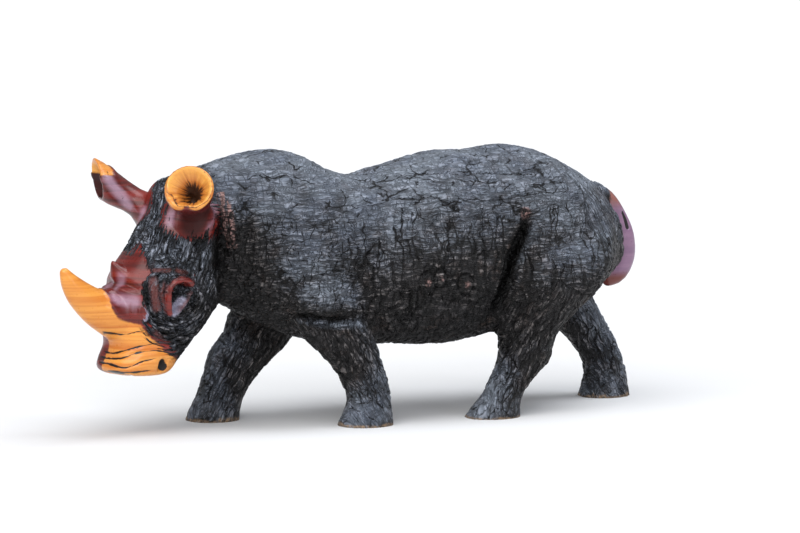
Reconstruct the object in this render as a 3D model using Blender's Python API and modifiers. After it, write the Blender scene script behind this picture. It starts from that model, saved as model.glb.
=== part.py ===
"""A walking rhinoceros carved from one block of two-coloured wood.

The figure stands on z = 0 with its head towards -X, its left side towards -Y and its tail towards +X.
The forms are lofts through measured sections. They are fused, smoothed as a carver blends them, and then
creased, hollowed and cut off flat under the feet.
All sections are in design units: the figure is DESIGN_LENGTH of them long, and UNIT turns them into metres.
"""

import math

import bmesh
import bpy
import numpy as np
from mathutils import Vector

# Driving sizes, in metres
FIGURE_LENGTH = 0.408
EAR_WALL = 0.0030

# Proportions, in design units
DESIGN_LENGTH = 461.0
UNIT = FIGURE_LENGTH / DESIGN_LENGTH
TRACK = 68.0
SOLE_SINK = 5.0
SOLE_LEVEL = 2.0
EAR_RADIUS = 18.0
EAR_ROUNDNESS = 0.89
CARVING_DEPTH = 1.0
RUN_OUT = 0.3

# How fine the fused form is, in design units, and how many triangles it keeps
BLEND_VOXEL = 2.8
FORM_VOXEL = 1.7
BLEND_PASSES = 14
FORM_PASSES = 3
TRIANGLES = 9750

# How the head is held: turned towards the figure's left and bent down, in degrees
HEAD_TURN = math.radians(14)
HEAD_BEND = math.radians(65)
MUZZLE_TILT = math.radians(21)
POLL = Vector((-141, -8, 173))

WOOD = {"base_color": (0.022, 0.020, 0.020, 1.0), "roughness": 0.48, "metallic": 0.0}


def head_axes():
    """The head's own directions: down the face, out of the face, and towards its left."""
    forward = Vector((-math.cos(HEAD_TURN), -math.sin(HEAD_TURN), 0))
    left = Vector((math.sin(HEAD_TURN), -math.cos(HEAD_TURN), 0))
    up = Vector((0, 0, 1))
    down_face = forward * math.cos(HEAD_BEND) - up * math.sin(HEAD_BEND)
    out_of_face = forward * math.sin(HEAD_BEND) + up * math.cos(HEAD_BEND)
    return down_face, out_of_face, left


DOWN_FACE, OUT_OF_FACE, HEAD_LEFT = head_axes()


def on_head(down, out, left=0.0):
    """A point given by its distance down the face from the poll, out of the face, and to the left."""
    return POLL + DOWN_FACE * down + OUT_OF_FACE * out + HEAD_LEFT * left


def smooth_rows(rows, count):
    """Rows of numbers read along a smooth curve. The first three numbers of each row are a place."""
    rows = np.array(rows, float)
    steps = np.linalg.norm(np.diff(rows[:, :3], axis=0), axis=1)
    knots = np.concatenate([[0.0], np.cumsum(np.maximum(steps, 1e-6))])
    slopes = np.gradient(rows, knots, axis=0)
    places = np.linspace(0, knots[-1], count)
    span = np.clip(np.searchsorted(knots, places, side="right") - 1, 0, len(knots) - 2)
    width = (knots[span + 1] - knots[span])[:, None]
    t = (places[:, None] - knots[span][:, None]) / width
    start, end = rows[span], rows[span + 1]
    return (
        (2 * t**3 - 3 * t**2 + 1) * start
        + (t**3 - 2 * t**2 + t) * width * slopes[span]
        + (3 * t**2 - 2 * t**3) * end
        + (t**3 - t**2) * width * slopes[span + 1]
    )


def closed_mesh(name, rings, first_pole, last_pole):
    """A closed mesh from rings of points and a pole point beyond each end."""
    around = len(rings[0])
    points = [Vector(p) for ring in rings for p in ring] + [Vector(first_pole), Vector(last_pole)]
    first, last = len(points) - 2, len(points) - 1
    end = (len(rings) - 1) * around
    faces = []
    for i in range(around):
        j = (i + 1) % around
        faces.append((first, j, i))
        faces.append((last, end + i, end + j))
        for k in range(0, end, around):
            faces.append((k + i, k + j, k + around + j, k + around + i))
    mesh = bpy.data.meshes.new(name)
    mesh.from_pydata([p * UNIT for p in points], [], faces)
    work = bmesh.new()
    work.from_mesh(mesh)
    bmesh.ops.recalc_face_normals(work, faces=work.faces)
    work.to_mesh(mesh)
    work.free()
    return mesh


def loft(name, rows, side, up, steps=24, around=28, square=2.0, pear=0.0, dome=0.5):
    """A loft with domed ends. Each row is x, y, z, half width along side and half height along up.

    Above 2, square makes the section boxier, and pear makes it wider below than above.
    """
    rows = smooth_rows(rows, steps)
    side, up = np.array(side, float), np.array(up, float)
    angles = np.linspace(0, 2 * math.pi, around, endpoint=False)
    across = np.sign(np.cos(angles)) * np.abs(np.cos(angles)) ** (2 / square)
    along = np.sign(np.sin(angles)) * np.abs(np.sin(angles)) ** (2 / square)
    across = across * (1 - pear * along)

    def ring(row, shrink=1.0, move=0.0):
        return row[:3] + move + shrink * (row[3] * np.outer(across, side) + row[4] * np.outer(along, up))

    def dome_rings(row, outwards):
        reach = dome * min(row[3], row[4])
        turns = np.linspace(0, math.pi / 2, 5)[1:-1]
        rings = [ring(row, math.cos(a), outwards * reach * math.sin(a)) for a in turns]
        return rings, row[:3] + outwards * reach

    def direction(a, b):
        return (a[:3] - b[:3]) / np.linalg.norm(a[:3] - b[:3])

    first, first_pole = dome_rings(rows[0], direction(rows[0], rows[1]))
    last, last_pole = dome_rings(rows[-1], direction(rows[-1], rows[-2]))
    rings = first[::-1] + [ring(row) for row in rows] + last
    return closed_mesh(name, rings, first_pole, last_pole)


def tube_loft(name, rows, side, steps=24, around=20, square=2.0):
    """A loft whose sections turn with its path. Side is the direction that half widths lie along."""
    rows = smooth_rows(rows, steps)
    side = np.array(side, float)
    paths = np.gradient(rows[:, :3], axis=0)
    angles = np.linspace(0, 2 * math.pi, around, endpoint=False)
    across = np.sign(np.cos(angles)) * np.abs(np.cos(angles)) ** (2 / square)
    along = np.sign(np.sin(angles)) * np.abs(np.sin(angles)) ** (2 / square)
    rings = []
    for row, path in zip(rows, paths):
        path = path / np.linalg.norm(path)
        level = side - path * (side @ path)
        level = level / np.linalg.norm(level)
        upright = np.cross(path, level)
        rings.append(row[:3] + row[3] * np.outer(across, level) + row[4] * np.outer(along, upright))
    tip = 0.6
    first = rows[0, :3] - paths[0] / np.linalg.norm(paths[0]) * rows[0, 3:5].min() * tip
    last = rows[-1, :3] + paths[-1] / np.linalg.norm(paths[-1]) * rows[-1, 3:5].min() * tip
    return closed_mesh(name, rings, first, last)


def torso():
    """The barrel, from the neck to the rump. Each line is x, top, bottom and half width."""
    profile = [
        (-136, 177, 112, 32),
        (-118, 182, 98, 37),
        (-98, 188, 88, 41),
        (-66, 194, 72, 49),
        (-42, 191, 62, 54),
        (-20, 180, 57, 55),
        (2, 174, 55, 56),
        (22, 179, 55, 59),
        (44, 184.5, 53.5, 62),
        (68, 189, 52.5, 63),
        (92, 188.5, 56, 61),
        (116, 192, 63.5, 60),
        (146, 186, 72, 58),
        (170, 174, 80, 51),
        (190, 160, 87, 39),
        (201, 149, 95, 24),
    ]
    rows = [(x, 0, (top + low) / 2, half, (top - low) / 2) for x, top, low, half in profile]
    return loft("torso", rows, (0, 1, 0), (0, 0, 1), steps=48, around=40, square=2.15, pear=0.10, dome=0.45)


def head():
    """The head. Each line is a distance down the face, its front and back there, and half width."""
    profile = [
        (2, -4, -58, 26),
        (16, -1, -66, 31),
        (32, 3, -69, 34),
        (46, 5, -69.5, 35),
        (60, 9, -68.5, 34.5),
        (74, 12, -66, 32),
        (86, 10, -62, 29.5),
        (98, 5, -57.5, 27),
        (110, 1, -53, 25),
    ]
    rows = [(*on_head(down, (f + b) / 2), half, (f - b) / 2) for down, f, b, half in profile]
    return loft("head", rows, HEAD_LEFT, OUT_OF_FACE, steps=32, around=36, square=2.25, pear=0.05, dome=0.26)


def muzzle():
    """The broad blunt end of the head. Each line is a place on the head, half width and half depth."""
    profile = [(98, -29, 25, 24), (108, -29, 26.5, 25), (117, -28.5, 27, 25.5), (125, -28, 25.5, 25)]
    rows = [(*on_head(down, out), half, deep) for down, out, half, deep in profile]
    tilted = OUT_OF_FACE * math.cos(MUZZLE_TILT) + DOWN_FACE * math.sin(MUZZLE_TILT)
    return loft("muzzle", rows, HEAD_LEFT, tilted, steps=14, around=36, square=2.35, dome=0.2)


def leg(name, sections, side_sign):
    """A leg. Each line is height, x, half length, half width, and how far outside the track line."""
    rows = [
        (x, side_sign * (TRACK / 2 + out), z, half_length, half_width)
        for z, x, half_length, half_width, out in sections
    ]
    return loft(name, rows, (1, 0, 0), (0, 1, 0), steps=30, around=24, square=2.2, dome=0.2)


def legs():
    left, right = -1, 1
    near_front = [
        (150, -46, 26, 12, 2),
        (125, -42, 34, 19, 3),
        (100, -38, 34, 21, 4),
        (80, -32, 28, 20, 3),
        (58, -18, 23, 18, 1),
        (42, -7, 18, 16, 0),
        (28, -1, 16, 15, 0),
        (16, 1, 16, 15, 0),
        (7, -1, 19, 17, 0),
        (-SOLE_SINK, -3, 21, 18, 0),
    ]
    far_front = [
        (150, -50, 26, 12, 2),
        (125, -52, 32, 19, 3),
        (100, -51, 30, 21, 4),
        (80, -48, 26.5, 20, 3),
        (64, -52, 27, 18, 1),
        (50, -64, 27, 17, 0),
        (34, -75, 21, 15, 0),
        (20, -83, 17, 15, 0),
        (8, -88, 18.5, 17, 0),
        (-SOLE_SINK, -90, 20, 18, 0),
    ]
    near_hind = [
        (154, 142, 24, 7, 0),
        (138, 146, 36, 14, 3.5),
        (116, 144, 41, 21, 8.5),
        (92, 137, 38, 23, 8),
        (72, 128, 27, 19, 3),
        (56, 122, 20, 17, 1),
        (42, 121, 20, 15, 0),
        (28, 111, 16, 14, 0),
        (15, 102, 15, 14, 0),
        (6, 97, 19, 16, 0),
        (-SOLE_SINK, 94, 22, 18, 0),
    ]
    far_hind = [
        (154, 144, 24, 7, 0),
        (138, 150, 36, 14, 3.5),
        (116, 160, 40, 21, 8.5),
        (92, 168, 36, 23, 8),
        (74, 181, 28, 19, 3),
        (60, 194, 22, 17, 1),
        (48, 205, 19, 15, 0),
        (36, 213, 16, 14, 0),
        (22, 219, 15, 14, 0),
        (10, 219, 17, 16, 0),
        (-SOLE_SINK, 217, 21, 18, 0),
    ]
    return [
        leg("near_front_leg", near_front, left),
        leg("far_front_leg", far_front, right),
        leg("near_hind_leg", near_hind, left),
        leg("far_hind_leg", far_hind, right),
    ]


def front_horn():
    """The long horn, which sweeps forward and up from the nose."""
    path = [
        (96, -12, 18, 18),
        (97, 3, 16, 16),
        (97.5, 15, 13, 13.5),
        (96, 27, 10.3, 11.2),
        (93, 38, 8, 9),
        (88.5, 47.5, 5.4, 6),
        (84, 54, 2.8, 3),
    ]
    rows = [(*on_head(down, out), half, deep) for down, out, half, deep in path]
    return tube_loft("front_horn", rows, HEAD_LEFT, steps=26)


def rear_horn():
    """The low second horn, a small pointed crest between the eyes and the long horn."""
    path = [(72, 2, 17, 15), (70, 8, 12, 10), (67, 14, 6, 5), (64, 19, 1, 1)]
    rows = [(*on_head(down, out), half, deep) for down, out, half, deep in path]
    return tube_loft("rear_horn", rows, HEAD_LEFT, steps=12, square=1.3)


def ear(name, side, mouth, faces):
    """A trumpet-shaped ear. Mouth is the middle of its rim, and faces is where its hollow looks:
    its shares of forwards, sideways and up."""
    base = np.array(on_head(19, -18, side * 23))
    neck = np.array(on_head(11, -5, side * 37))
    mouth = np.array(on_head(*mouth))
    forward = np.array((-math.cos(HEAD_TURN), -math.sin(HEAD_TURN), 0))
    faces = faces[0] * forward + faces[1] * side * np.array(HEAD_LEFT) + faces[2] * np.array((0, 0, 1))
    faces = faces / np.linalg.norm(faces)
    stalk = (neck - base) / np.linalg.norm(neck - base)
    wall = EAR_WALL / UNIT
    rim = EAR_RADIUS
    outer = [(0, 18), (0.2, 13.5), (0.4, 11), (0.58, 11.8), (0.75, 14.4), (0.9, 17), (1, rim)]
    inner = [(1.02, rim - wall / 2), (1, rim - wall)]
    inner += [(0.95, 13.2), (0.89, 9.6), (0.81, 7.2), (0.7, 5), (0.6, 2.4)]
    angles = np.linspace(0, 2 * math.pi, 32, endpoint=False)
    notch = np.exp(-(((angles - math.pi * 1.5) / 0.34) ** 2))

    def centre(t):
        return (1 - t) ** 2 * base + 2 * t * (1 - t) * neck + t * t * mouth

    def ring(t, radius):
        share = min(t, 1)
        axis = stalk * (1 - share) + faces * share
        axis = axis / np.linalg.norm(axis)
        level = np.cross((0, 0, 1), axis)
        level = level / np.linalg.norm(level)
        upright = np.cross(axis, level)
        radius = radius * (1 - 0.16 * share**4 * notch)
        return centre(t) + np.outer(radius * np.cos(angles), level) + np.outer(
            EAR_ROUNDNESS * radius * np.sin(angles), upright
        )

    rings = [ring(t, radius) for t, radius in outer + inner]
    return closed_mesh(name, rings, base - stalk * 6, centre(inner[-1][0] - 0.03))


def tail():
    """The tail, which lies down the middle of the rump and curls in at its end."""
    path = [
        (184, 0, 157, 9, 7),
        (199, 0, 149, 9, 8.5),
        (209, 0, 135, 8.5, 9),
        (215.5, 0, 120, 8, 9),
        (215, 0, 105, 8, 9),
        (209, 0, 95, 7.5, 8),
        (201, 0, 92, 7, 6.5),
    ]
    return tube_loft("tail", path, (0, 1, 0), steps=24, around=18)


def fused(name, meshes, voxel, passes):
    """One closed mesh around all the given ones, evenly faceted and smoothed."""
    joined = bmesh.new()
    for mesh in meshes:
        joined.from_mesh(mesh)
    whole = bpy.data.meshes.new(name)
    joined.to_mesh(whole)
    joined.free()
    holder = bpy.data.objects.new(name, whole)
    bpy.context.scene.collection.objects.link(holder)
    remesh = holder.modifiers.new("fuse", "REMESH")
    remesh.mode = "VOXEL"
    remesh.voxel_size = voxel * UNIT
    smooth = holder.modifiers.new("blend", "SMOOTH")
    smooth.factor = 0.5
    smooth.iterations = passes
    made = evaluated_mesh(holder)
    bpy.data.objects.remove(holder)
    return made


def evaluated_mesh(holder):
    bpy.context.view_layer.update()
    graph = bpy.context.evaluated_depsgraph_get()
    return bpy.data.meshes.new_from_object(holder.evaluated_get(graph))


def read_points(mesh):
    points = np.empty(len(mesh.vertices) * 3, np.float32)
    mesh.vertices.foreach_get("co", points)
    normals = np.empty(len(mesh.vertices) * 3, np.float32)
    mesh.vertices.foreach_get("normal", normals)
    return points.reshape(-1, 3).astype(float) / UNIT, normals.reshape(-1, 3).astype(float)


def write_points(mesh, points):
    mesh.vertices.foreach_set("co", (points * UNIT).astype(np.float32).ravel())
    mesh.update()


def near_path(points, path, radius):
    """1 on a line through the path's points, falling smoothly to 0 at the radius.

    A path several times longer than it is wide also runs out at both ends.
    """
    path = np.array([list(p) for p in path], float)
    steps = np.linalg.norm(np.diff(path, axis=0), axis=1)
    starts = np.concatenate([[0.0], np.cumsum(steps)])
    nearest = np.full(len(points), np.inf)
    place = np.zeros(len(points))
    for a, b, step, start in zip(path[:-1], path[1:], steps, starts):
        along = (b - a) / step
        t = np.clip((points - a) @ along, 0, step)
        distance = np.linalg.norm(points - a - t[:, None] * along, axis=1)
        closer = distance < nearest
        nearest[closer] = distance[closer]
        place[closer] = start + t[closer]
    share = np.clip(1 - (nearest / radius) ** 2, 0, 1) ** 2
    if starts[-1] > 4 * radius:
        to_end = np.minimum(place, starts[-1] - place) / (RUN_OUT * starts[-1])
        share *= np.sin(np.clip(to_end, 0, 1) * math.pi / 2)
    return share


def body_folds():
    """Folds and hollows of the body: radius, depth and path. A negative depth raises the surface."""
    near = [
        (8, 8, [(-111, -36, 158), (-111, -38, 136), (-111, -37, 119), (-108, -28, 98)]),
        (16, 5, [(-106, -38, 130), (-99, -36, 108), (-94, -22, 88)]),
        (8, -2, [(-101, -32, 170), (-101, -39, 150), (-101, -41, 126)]),
        (6, 3, [(-94, -32, 173), (-93.5, -40, 152), (-92, -43, 136), (-95, -40, 114)]),
        (17, 2.4, [(-26, -47, 158), (-27, -53, 132), (-26, -56, 114), (-19, -56, 99), (-9, -50, 82)]),
        (6, 4.5, [(199, -10, 152), (206, -11, 142), (209, -12, 128), (207, -12, 112), (201, -11, 100)]),
    ]
    shoulder = [
        (7, 4.5, [(-66, -38, 80), (-51, -52, 79.7), (-31, -57, 78.5), (-9, -50, 79.5)]),
        (14, -2.2, [(-74, -42, 91), (-55, -55, 93), (-39, -58, 93), (-12, -56, 92)]),
    ]
    near_flank = [
        (8, 10, [(117, -56, 153), (108, -60, 130), (101, -61, 114), (96.5, -58, 95), (91, -46, 66)]),
        (18, 3.5, [(104, -60, 142), (92, -60, 108), (86, -57, 92), (80, -42, 62)]),
    ]
    far_flank = [
        (8, 10, [(126, 56, 152), (121, 60, 130), (119, 61, 114), (123, 58, 95), (132, 46, 72)]),
        (18, 3.5, [(116, 60, 142), (109, 60, 108), (112, 57, 92), (118, 42, 64)]),
    ]

    def across(folds, forward):
        return [(radius, depth, [(x - forward, -y, z) for x, y, z in path]) for radius, depth, path in folds]

    return near + shoulder + near_flank + across(near, 0) + across(shoulder, 14) + far_flank


def head_folds():
    """Folds, eye hollows and wrinkles of the head: radius, depth and path in places on its left side."""
    return [
        (5, -2.2, [(83, -20, 29), (77, -16, 30), (71, -13, 30), (65, -13, 31), (60, -17, 32), (58, -24, 34)]),
        (8, 6, [(67, -20, 32), (72, -20.5, 31.5), (76, -21.5, 31)]),
        (4.5, 3, [(64, -21, 33), (58.5, -25, 34)]),
        (4, 2.5, [(76, -22, 31), (81.5, -23.5, 30)]),
        (3, 1.6, [(64.4, -6.6, 28), (73, -11, 29), (83.3, -19.5, 29.2)]),
        (3, 1.2, [(67.3, -4.8, 27), (74, -8.4, 28), (82.4, -14, 28.3)]),
        (3.2, 1.4, [(64.6, 4.9, 17.6), (59.6, -1.1, 23.7), (58.5, -9.4, 29.3), (55.5, -23, 33.6)]),
        (3, 1.2, [(66, -2, 25), (61, -8, 28.6), (56.7, -15, 31.6), (54.5, -25, 34)]),
        (4.5, 2.2, [(78, 2, 20), (77, 7, 15.7), (76, 10.5, 8), (77, 12, 0), (76, 10.5, -8)]),
        (4.5, -2.4, [(83, 0, 21), (81, 6, 16), (80, 10, 9), (83, 13, 3), (83, 13, -3), (80, 10, -9)]),
        (5, 5.5, [(115, -33, 26), (117.5, -33.5, 25.8), (120, -34, 25.5)]),
        (3, 1.2, [(102, -9, 21.7), (108, -1, 12), (112, 5, 3), (112, 5, -3)]),
        (3, 2.2, [(105, -22, 25.5), (114, -10.4, 19), (119, -6.6, 11.3), (122, -5, 0), (119, -6.6, -11.3)]),
        (3, 2.2, [(110, -42, 23), (109.5, -30, 26), (114, -17, 24), (123, -7, 12), (126, -5, 0), (123, -7, -12)]),
        (3, 2.2, [(112, -29, 26.4), (119, -20.6, 25.2), (127.5, -10.4, 18), (130, -5.3, 2.7), (130, -5, -3)]),
        (3, 1.6, [(126.5, -21.4, 23.6), (130, -15.5, 20), (133, -11, 12.4)]),
    ]


def carve(mesh):
    """Cuts the folds, hollows and wrinkles into the fused form, or raises them from it."""
    points, normals = read_points(mesh)
    depth = np.zeros(len(points))
    for radius, deep, path in body_folds():
        depth += deep * near_path(points, path, radius)
    for radius, deep, places in head_folds():
        sides = [near_path(points, [on_head(down, out, side * left) for down, out, left in places], radius)
                 for side in (-1, 1)]
        depth += deep * np.maximum(*sides)
    write_points(mesh, points - normals * (depth * CARVING_DEPTH)[:, None])


def thinned(mesh):
    """The mesh with fewer triangles, kept where the form bends most."""
    holder = bpy.data.objects.new("thinned", mesh)
    bpy.context.scene.collection.objects.link(holder)
    mesh.calc_loop_triangles()
    decimate = holder.modifiers.new("thin", "DECIMATE")
    decimate.ratio = TRIANGLES / len(mesh.loop_triangles)
    made = evaluated_mesh(holder)
    bpy.data.objects.remove(holder)
    return made


def stand_flat(mesh):
    """Cuts the feet off flat, sets them on z = 0 and centres the figure's box on the z axis."""
    work = bmesh.new()
    work.from_mesh(mesh)
    bmesh.ops.bisect_plane(
        work,
        geom=work.verts[:] + work.edges[:] + work.faces[:],
        dist=1e-7,
        plane_co=(0, 0, SOLE_LEVEL * UNIT),
        plane_no=(0, 0, 1),
        clear_inner=True,
    )
    open_edges = [e for e in work.edges if e.is_boundary]
    bmesh.ops.holes_fill(work, edges=open_edges, sides=0)
    bmesh.ops.triangulate(work, faces=work.faces[:])
    bmesh.ops.recalc_face_normals(work, faces=work.faces[:])
    low = Vector([min(v.co[axis] for v in work.verts) for axis in range(3)])
    high = Vector([max(v.co[axis] for v in work.verts) for axis in range(3)])
    foot = Vector(((low.x + high.x) / 2, (low.y + high.y) / 2, low.z))
    for v in work.verts:
        v.co -= foot
    mesh["moved"] = foot / UNIT
    work.to_mesh(mesh)
    work.free()


def wood_material():
    material = bpy.data.materials.new("carved_wood")
    material.use_nodes = True
    shader = material.node_tree.nodes["Principled BSDF"]
    shader.inputs["Base Color"].default_value = WOOD["base_color"]
    shader.inputs["Roughness"].default_value = WOOD["roughness"]
    shader.inputs["Metallic"].default_value = WOOD["metallic"]
    return material


def clear_scene():
    for obj in list(bpy.data.objects):
        bpy.data.objects.remove(obj, do_unlink=True)


def main():
    clear_scene()
    collection = bpy.data.collections.new("rhinoceros_figurine")
    bpy.context.scene.collection.children.link(collection)
    blended = fused("blended", [torso(), head(), muzzle(), *legs()], BLEND_VOXEL, BLEND_PASSES)
    near_ear = ear("near_ear", 1, mouth=(5, 15, 50), faces=(0.80, 0.52, 0.28))
    far_ear = ear("far_ear", -1, mouth=(8, 18, -51), faces=(0.90, 0.40, -0.15))
    fine = [front_horn(), rear_horn(), near_ear, far_ear, tail()]
    form = fused("form", [blended, *fine], FORM_VOXEL, FORM_PASSES)
    carve(form)
    form = thinned(form)
    stand_flat(form)
    form.name = "rhinoceros"
    form.materials.clear()
    form.materials.append(wood_material())
    form.shade_smooth()
    figure = bpy.data.objects.new("rhinoceros", form)
    collection.objects.link(figure)


main()
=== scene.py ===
import math

import bmesh
import bpy
import numpy as np
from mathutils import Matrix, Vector


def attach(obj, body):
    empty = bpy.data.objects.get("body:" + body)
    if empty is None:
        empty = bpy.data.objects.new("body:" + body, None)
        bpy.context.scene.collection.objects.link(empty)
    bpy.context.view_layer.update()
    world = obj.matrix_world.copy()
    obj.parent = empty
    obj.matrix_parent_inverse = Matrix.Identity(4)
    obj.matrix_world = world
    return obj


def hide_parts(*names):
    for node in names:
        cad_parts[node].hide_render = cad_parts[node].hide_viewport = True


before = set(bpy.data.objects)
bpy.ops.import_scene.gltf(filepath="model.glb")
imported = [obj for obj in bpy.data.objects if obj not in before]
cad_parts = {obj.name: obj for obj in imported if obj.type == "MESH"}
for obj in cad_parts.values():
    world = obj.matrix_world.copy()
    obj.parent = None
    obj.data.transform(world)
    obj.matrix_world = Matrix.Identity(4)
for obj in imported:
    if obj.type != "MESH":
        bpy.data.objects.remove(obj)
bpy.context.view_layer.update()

# The figure's size, and the design units that its sections are written in
FIGURE_LENGTH = 0.408
DESIGN_LENGTH = 461.0
UNIT = FIGURE_LENGTH / DESIGN_LENGTH
EAR_WALL = 0.0030
TRACK = 68.0
SOLE_SINK = 5.0
SOLE_LEVEL = 2.0
EAR_RADIUS = 18.0
EAR_ROUNDNESS = 0.89
RUN_OUT = 0.3

# Where the design's origin lies from the middle of the figure's foot, in design units
MOVED = np.array((5.6366, -3.3106, 2.0))

# How fine the forms are, in design units, and how many triangles the carving keeps
BLEND_VOXEL = 2.8
BLEND_PASSES = 14
CARVING_VOXEL = 0.8
CARVING_PASSES = 9
TRIANGLES = 196000
PLAINER_SHARE = 0.6

# How far the plates' middles are strewn from even rows, from 0 to 1
PLATE_UNEVENNESS = 0.85

# A distance greater than any that counts, for points that aren't measured
FAR_AWAY = 99.0

HEAD_TURN = math.radians(14)
HEAD_BEND = math.radians(65)
MUZZLE_TILT = math.radians(21)
POLL = Vector((-141, -8, 173))

# Where the head, its muzzle and the tail begin along the figure, and how low the head reaches
HEAD_BACK = -100
HEAD_BOTTOM = 38
MUZZLE_BACK = -140
TAIL_FRONT = 150


def unit(vector):
    return vector / np.linalg.norm(vector)


def level_and_upright(axis):
    """The level direction across an axis, and the direction across both."""
    level = unit(np.cross((0, 0, 1), axis))
    return level, np.cross(axis, level)


# The form, from the same sections as the solid

def head_axes():
    """The head's own directions: down the face, out of the face, and towards its left."""
    forward = Vector((-math.cos(HEAD_TURN), -math.sin(HEAD_TURN), 0))
    left = Vector((math.sin(HEAD_TURN), -math.cos(HEAD_TURN), 0))
    up = Vector((0, 0, 1))
    down_face = forward * math.cos(HEAD_BEND) - up * math.sin(HEAD_BEND)
    out_of_face = forward * math.sin(HEAD_BEND) + up * math.cos(HEAD_BEND)
    return down_face, out_of_face, left


DOWN_FACE, OUT_OF_FACE, HEAD_LEFT = head_axes()


def on_head(down, out, left=0.0):
    """A point given by its distance down the face from the poll, out of the face, and to the left."""
    return POLL + DOWN_FACE * down + OUT_OF_FACE * out + HEAD_LEFT * left


def smooth_rows(rows, count):
    """Rows of numbers read along a smooth curve. The first three numbers of each row are a place."""
    rows = np.array(rows, float)
    steps = np.linalg.norm(np.diff(rows[:, :3], axis=0), axis=1)
    knots = np.concatenate([[0.0], np.cumsum(np.maximum(steps, 1e-6))])
    slopes = np.gradient(rows, knots, axis=0)
    places = np.linspace(0, knots[-1], count)
    span = np.clip(np.searchsorted(knots, places, side="right") - 1, 0, len(knots) - 2)
    width = (knots[span + 1] - knots[span])[:, None]
    t = (places[:, None] - knots[span][:, None]) / width
    start, end = rows[span], rows[span + 1]
    return (
        (2 * t**3 - 3 * t**2 + 1) * start
        + (t**3 - 2 * t**2 + t) * width * slopes[span]
        + (3 * t**2 - 2 * t**3) * end
        + (t**3 - t**2) * width * slopes[span + 1]
    )


def closed_mesh(name, rings, first_pole, last_pole):
    """A closed mesh from rings of points and a pole point beyond each end."""
    around = len(rings[0])
    points = [Vector(p) for ring in rings for p in ring] + [Vector(first_pole), Vector(last_pole)]
    first, last = len(points) - 2, len(points) - 1
    end = (len(rings) - 1) * around
    faces = []
    for i in range(around):
        j = (i + 1) % around
        faces.append((first, j, i))
        faces.append((last, end + i, end + j))
        for k in range(0, end, around):
            faces.append((k + i, k + j, k + around + j, k + around + i))
    mesh = bpy.data.meshes.new(name)
    mesh.from_pydata([p * UNIT for p in points], [], faces)
    work = bmesh.new()
    work.from_mesh(mesh)
    bmesh.ops.recalc_face_normals(work, faces=work.faces)
    work.to_mesh(mesh)
    work.free()
    return mesh


def section(around, square):
    """Places around a section that reaches 1 from its middle. Above 2, square makes it boxier."""
    angles = np.linspace(0, 2 * math.pi, around, endpoint=False)
    return [np.sign(turn) * np.abs(turn) ** (2 / square) for turn in (np.cos(angles), np.sin(angles))]


def loft(name, rows, side, up, steps, around, square, dome, pear=0.0):
    """A loft with domed ends. Each row is x, y, z, half width along side and half height along up.

    Pear makes its sections wider below than above.
    """
    rows = smooth_rows(rows, steps)
    side, up = np.array(side, float), np.array(up, float)
    across, along = section(around, square)
    across = across * (1 - pear * along)

    def ring(row, shrink=1.0, move=0.0):
        return row[:3] + move + shrink * (row[3] * np.outer(across, side) + row[4] * np.outer(along, up))

    def dome_rings(row, outwards):
        reach = dome * min(row[3], row[4])
        turns = np.linspace(0, math.pi / 2, 5)[1:-1]
        rings = [ring(row, math.cos(a), outwards * reach * math.sin(a)) for a in turns]
        return rings, row[:3] + outwards * reach

    first, first_pole = dome_rings(rows[0], unit(rows[0, :3] - rows[1, :3]))
    last, last_pole = dome_rings(rows[-1], unit(rows[-1, :3] - rows[-2, :3]))
    rings = first[::-1] + [ring(row) for row in rows] + last
    return closed_mesh(name, rings, first_pole, last_pole)


def tube_loft(name, rows, side, steps, around=20, square=2.0):
    """A loft whose sections turn with its path. Side is the direction that half widths lie along."""
    rows = smooth_rows(rows, steps)
    side = np.array(side, float)
    paths = [unit(path) for path in np.gradient(rows[:, :3], axis=0)]
    across, along = section(around, square)
    rings = []
    for row, path in zip(rows, paths):
        level = unit(side - path * (side @ path))
        upright = np.cross(path, level)
        rings.append(row[:3] + row[3] * np.outer(across, level) + row[4] * np.outer(along, upright))
    tip = 0.6
    first = rows[0, :3] - paths[0] * rows[0, 3:5].min() * tip
    last = rows[-1, :3] + paths[-1] * rows[-1, 3:5].min() * tip
    return closed_mesh(name, rings, first, last)


def torso():
    """The barrel, from the neck to the rump. Each line is x, top, bottom and half width."""
    profile = [
        (-136, 177, 112, 32),
        (-118, 182, 98, 37),
        (-98, 188, 88, 41),
        (-66, 194, 72, 49),
        (-42, 191, 62, 54),
        (-20, 180, 57, 55),
        (2, 174, 55, 56),
        (22, 179, 55, 59),
        (44, 184.5, 53.5, 62),
        (68, 189, 52.5, 63),
        (92, 188.5, 56, 61),
        (116, 192, 63.5, 60),
        (146, 186, 72, 58),
        (170, 174, 80, 51),
        (190, 160, 87, 39),
        (201, 149, 95, 24),
    ]
    rows = [(x, 0, (top + low) / 2, half, (top - low) / 2) for x, top, low, half in profile]
    return loft("torso", rows, (0, 1, 0), (0, 0, 1), 48, around=40, square=2.15, dome=0.45, pear=0.10)


def head():
    """The head. Each line is a distance down the face, its front and back there, and half width."""
    profile = [
        (2, -4, -58, 26),
        (16, -1, -66, 31),
        (32, 3, -69, 34),
        (46, 5, -69.5, 35),
        (60, 9, -68.5, 34.5),
        (74, 12, -66, 32),
        (86, 10, -62, 29.5),
        (98, 5, -57.5, 27),
        (110, 1, -53, 25),
    ]
    rows = [(*on_head(down, (f + b) / 2), half, (f - b) / 2) for down, f, b, half in profile]
    return loft("head", rows, HEAD_LEFT, OUT_OF_FACE, 32, around=36, square=2.25, dome=0.26, pear=0.05)


def middle_rows(profile):
    """Rows along the middle of the face. Each line is a place on the head, half width and half depth."""
    return [(*on_head(down, out), half, deep) for down, out, half, deep in profile]


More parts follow.
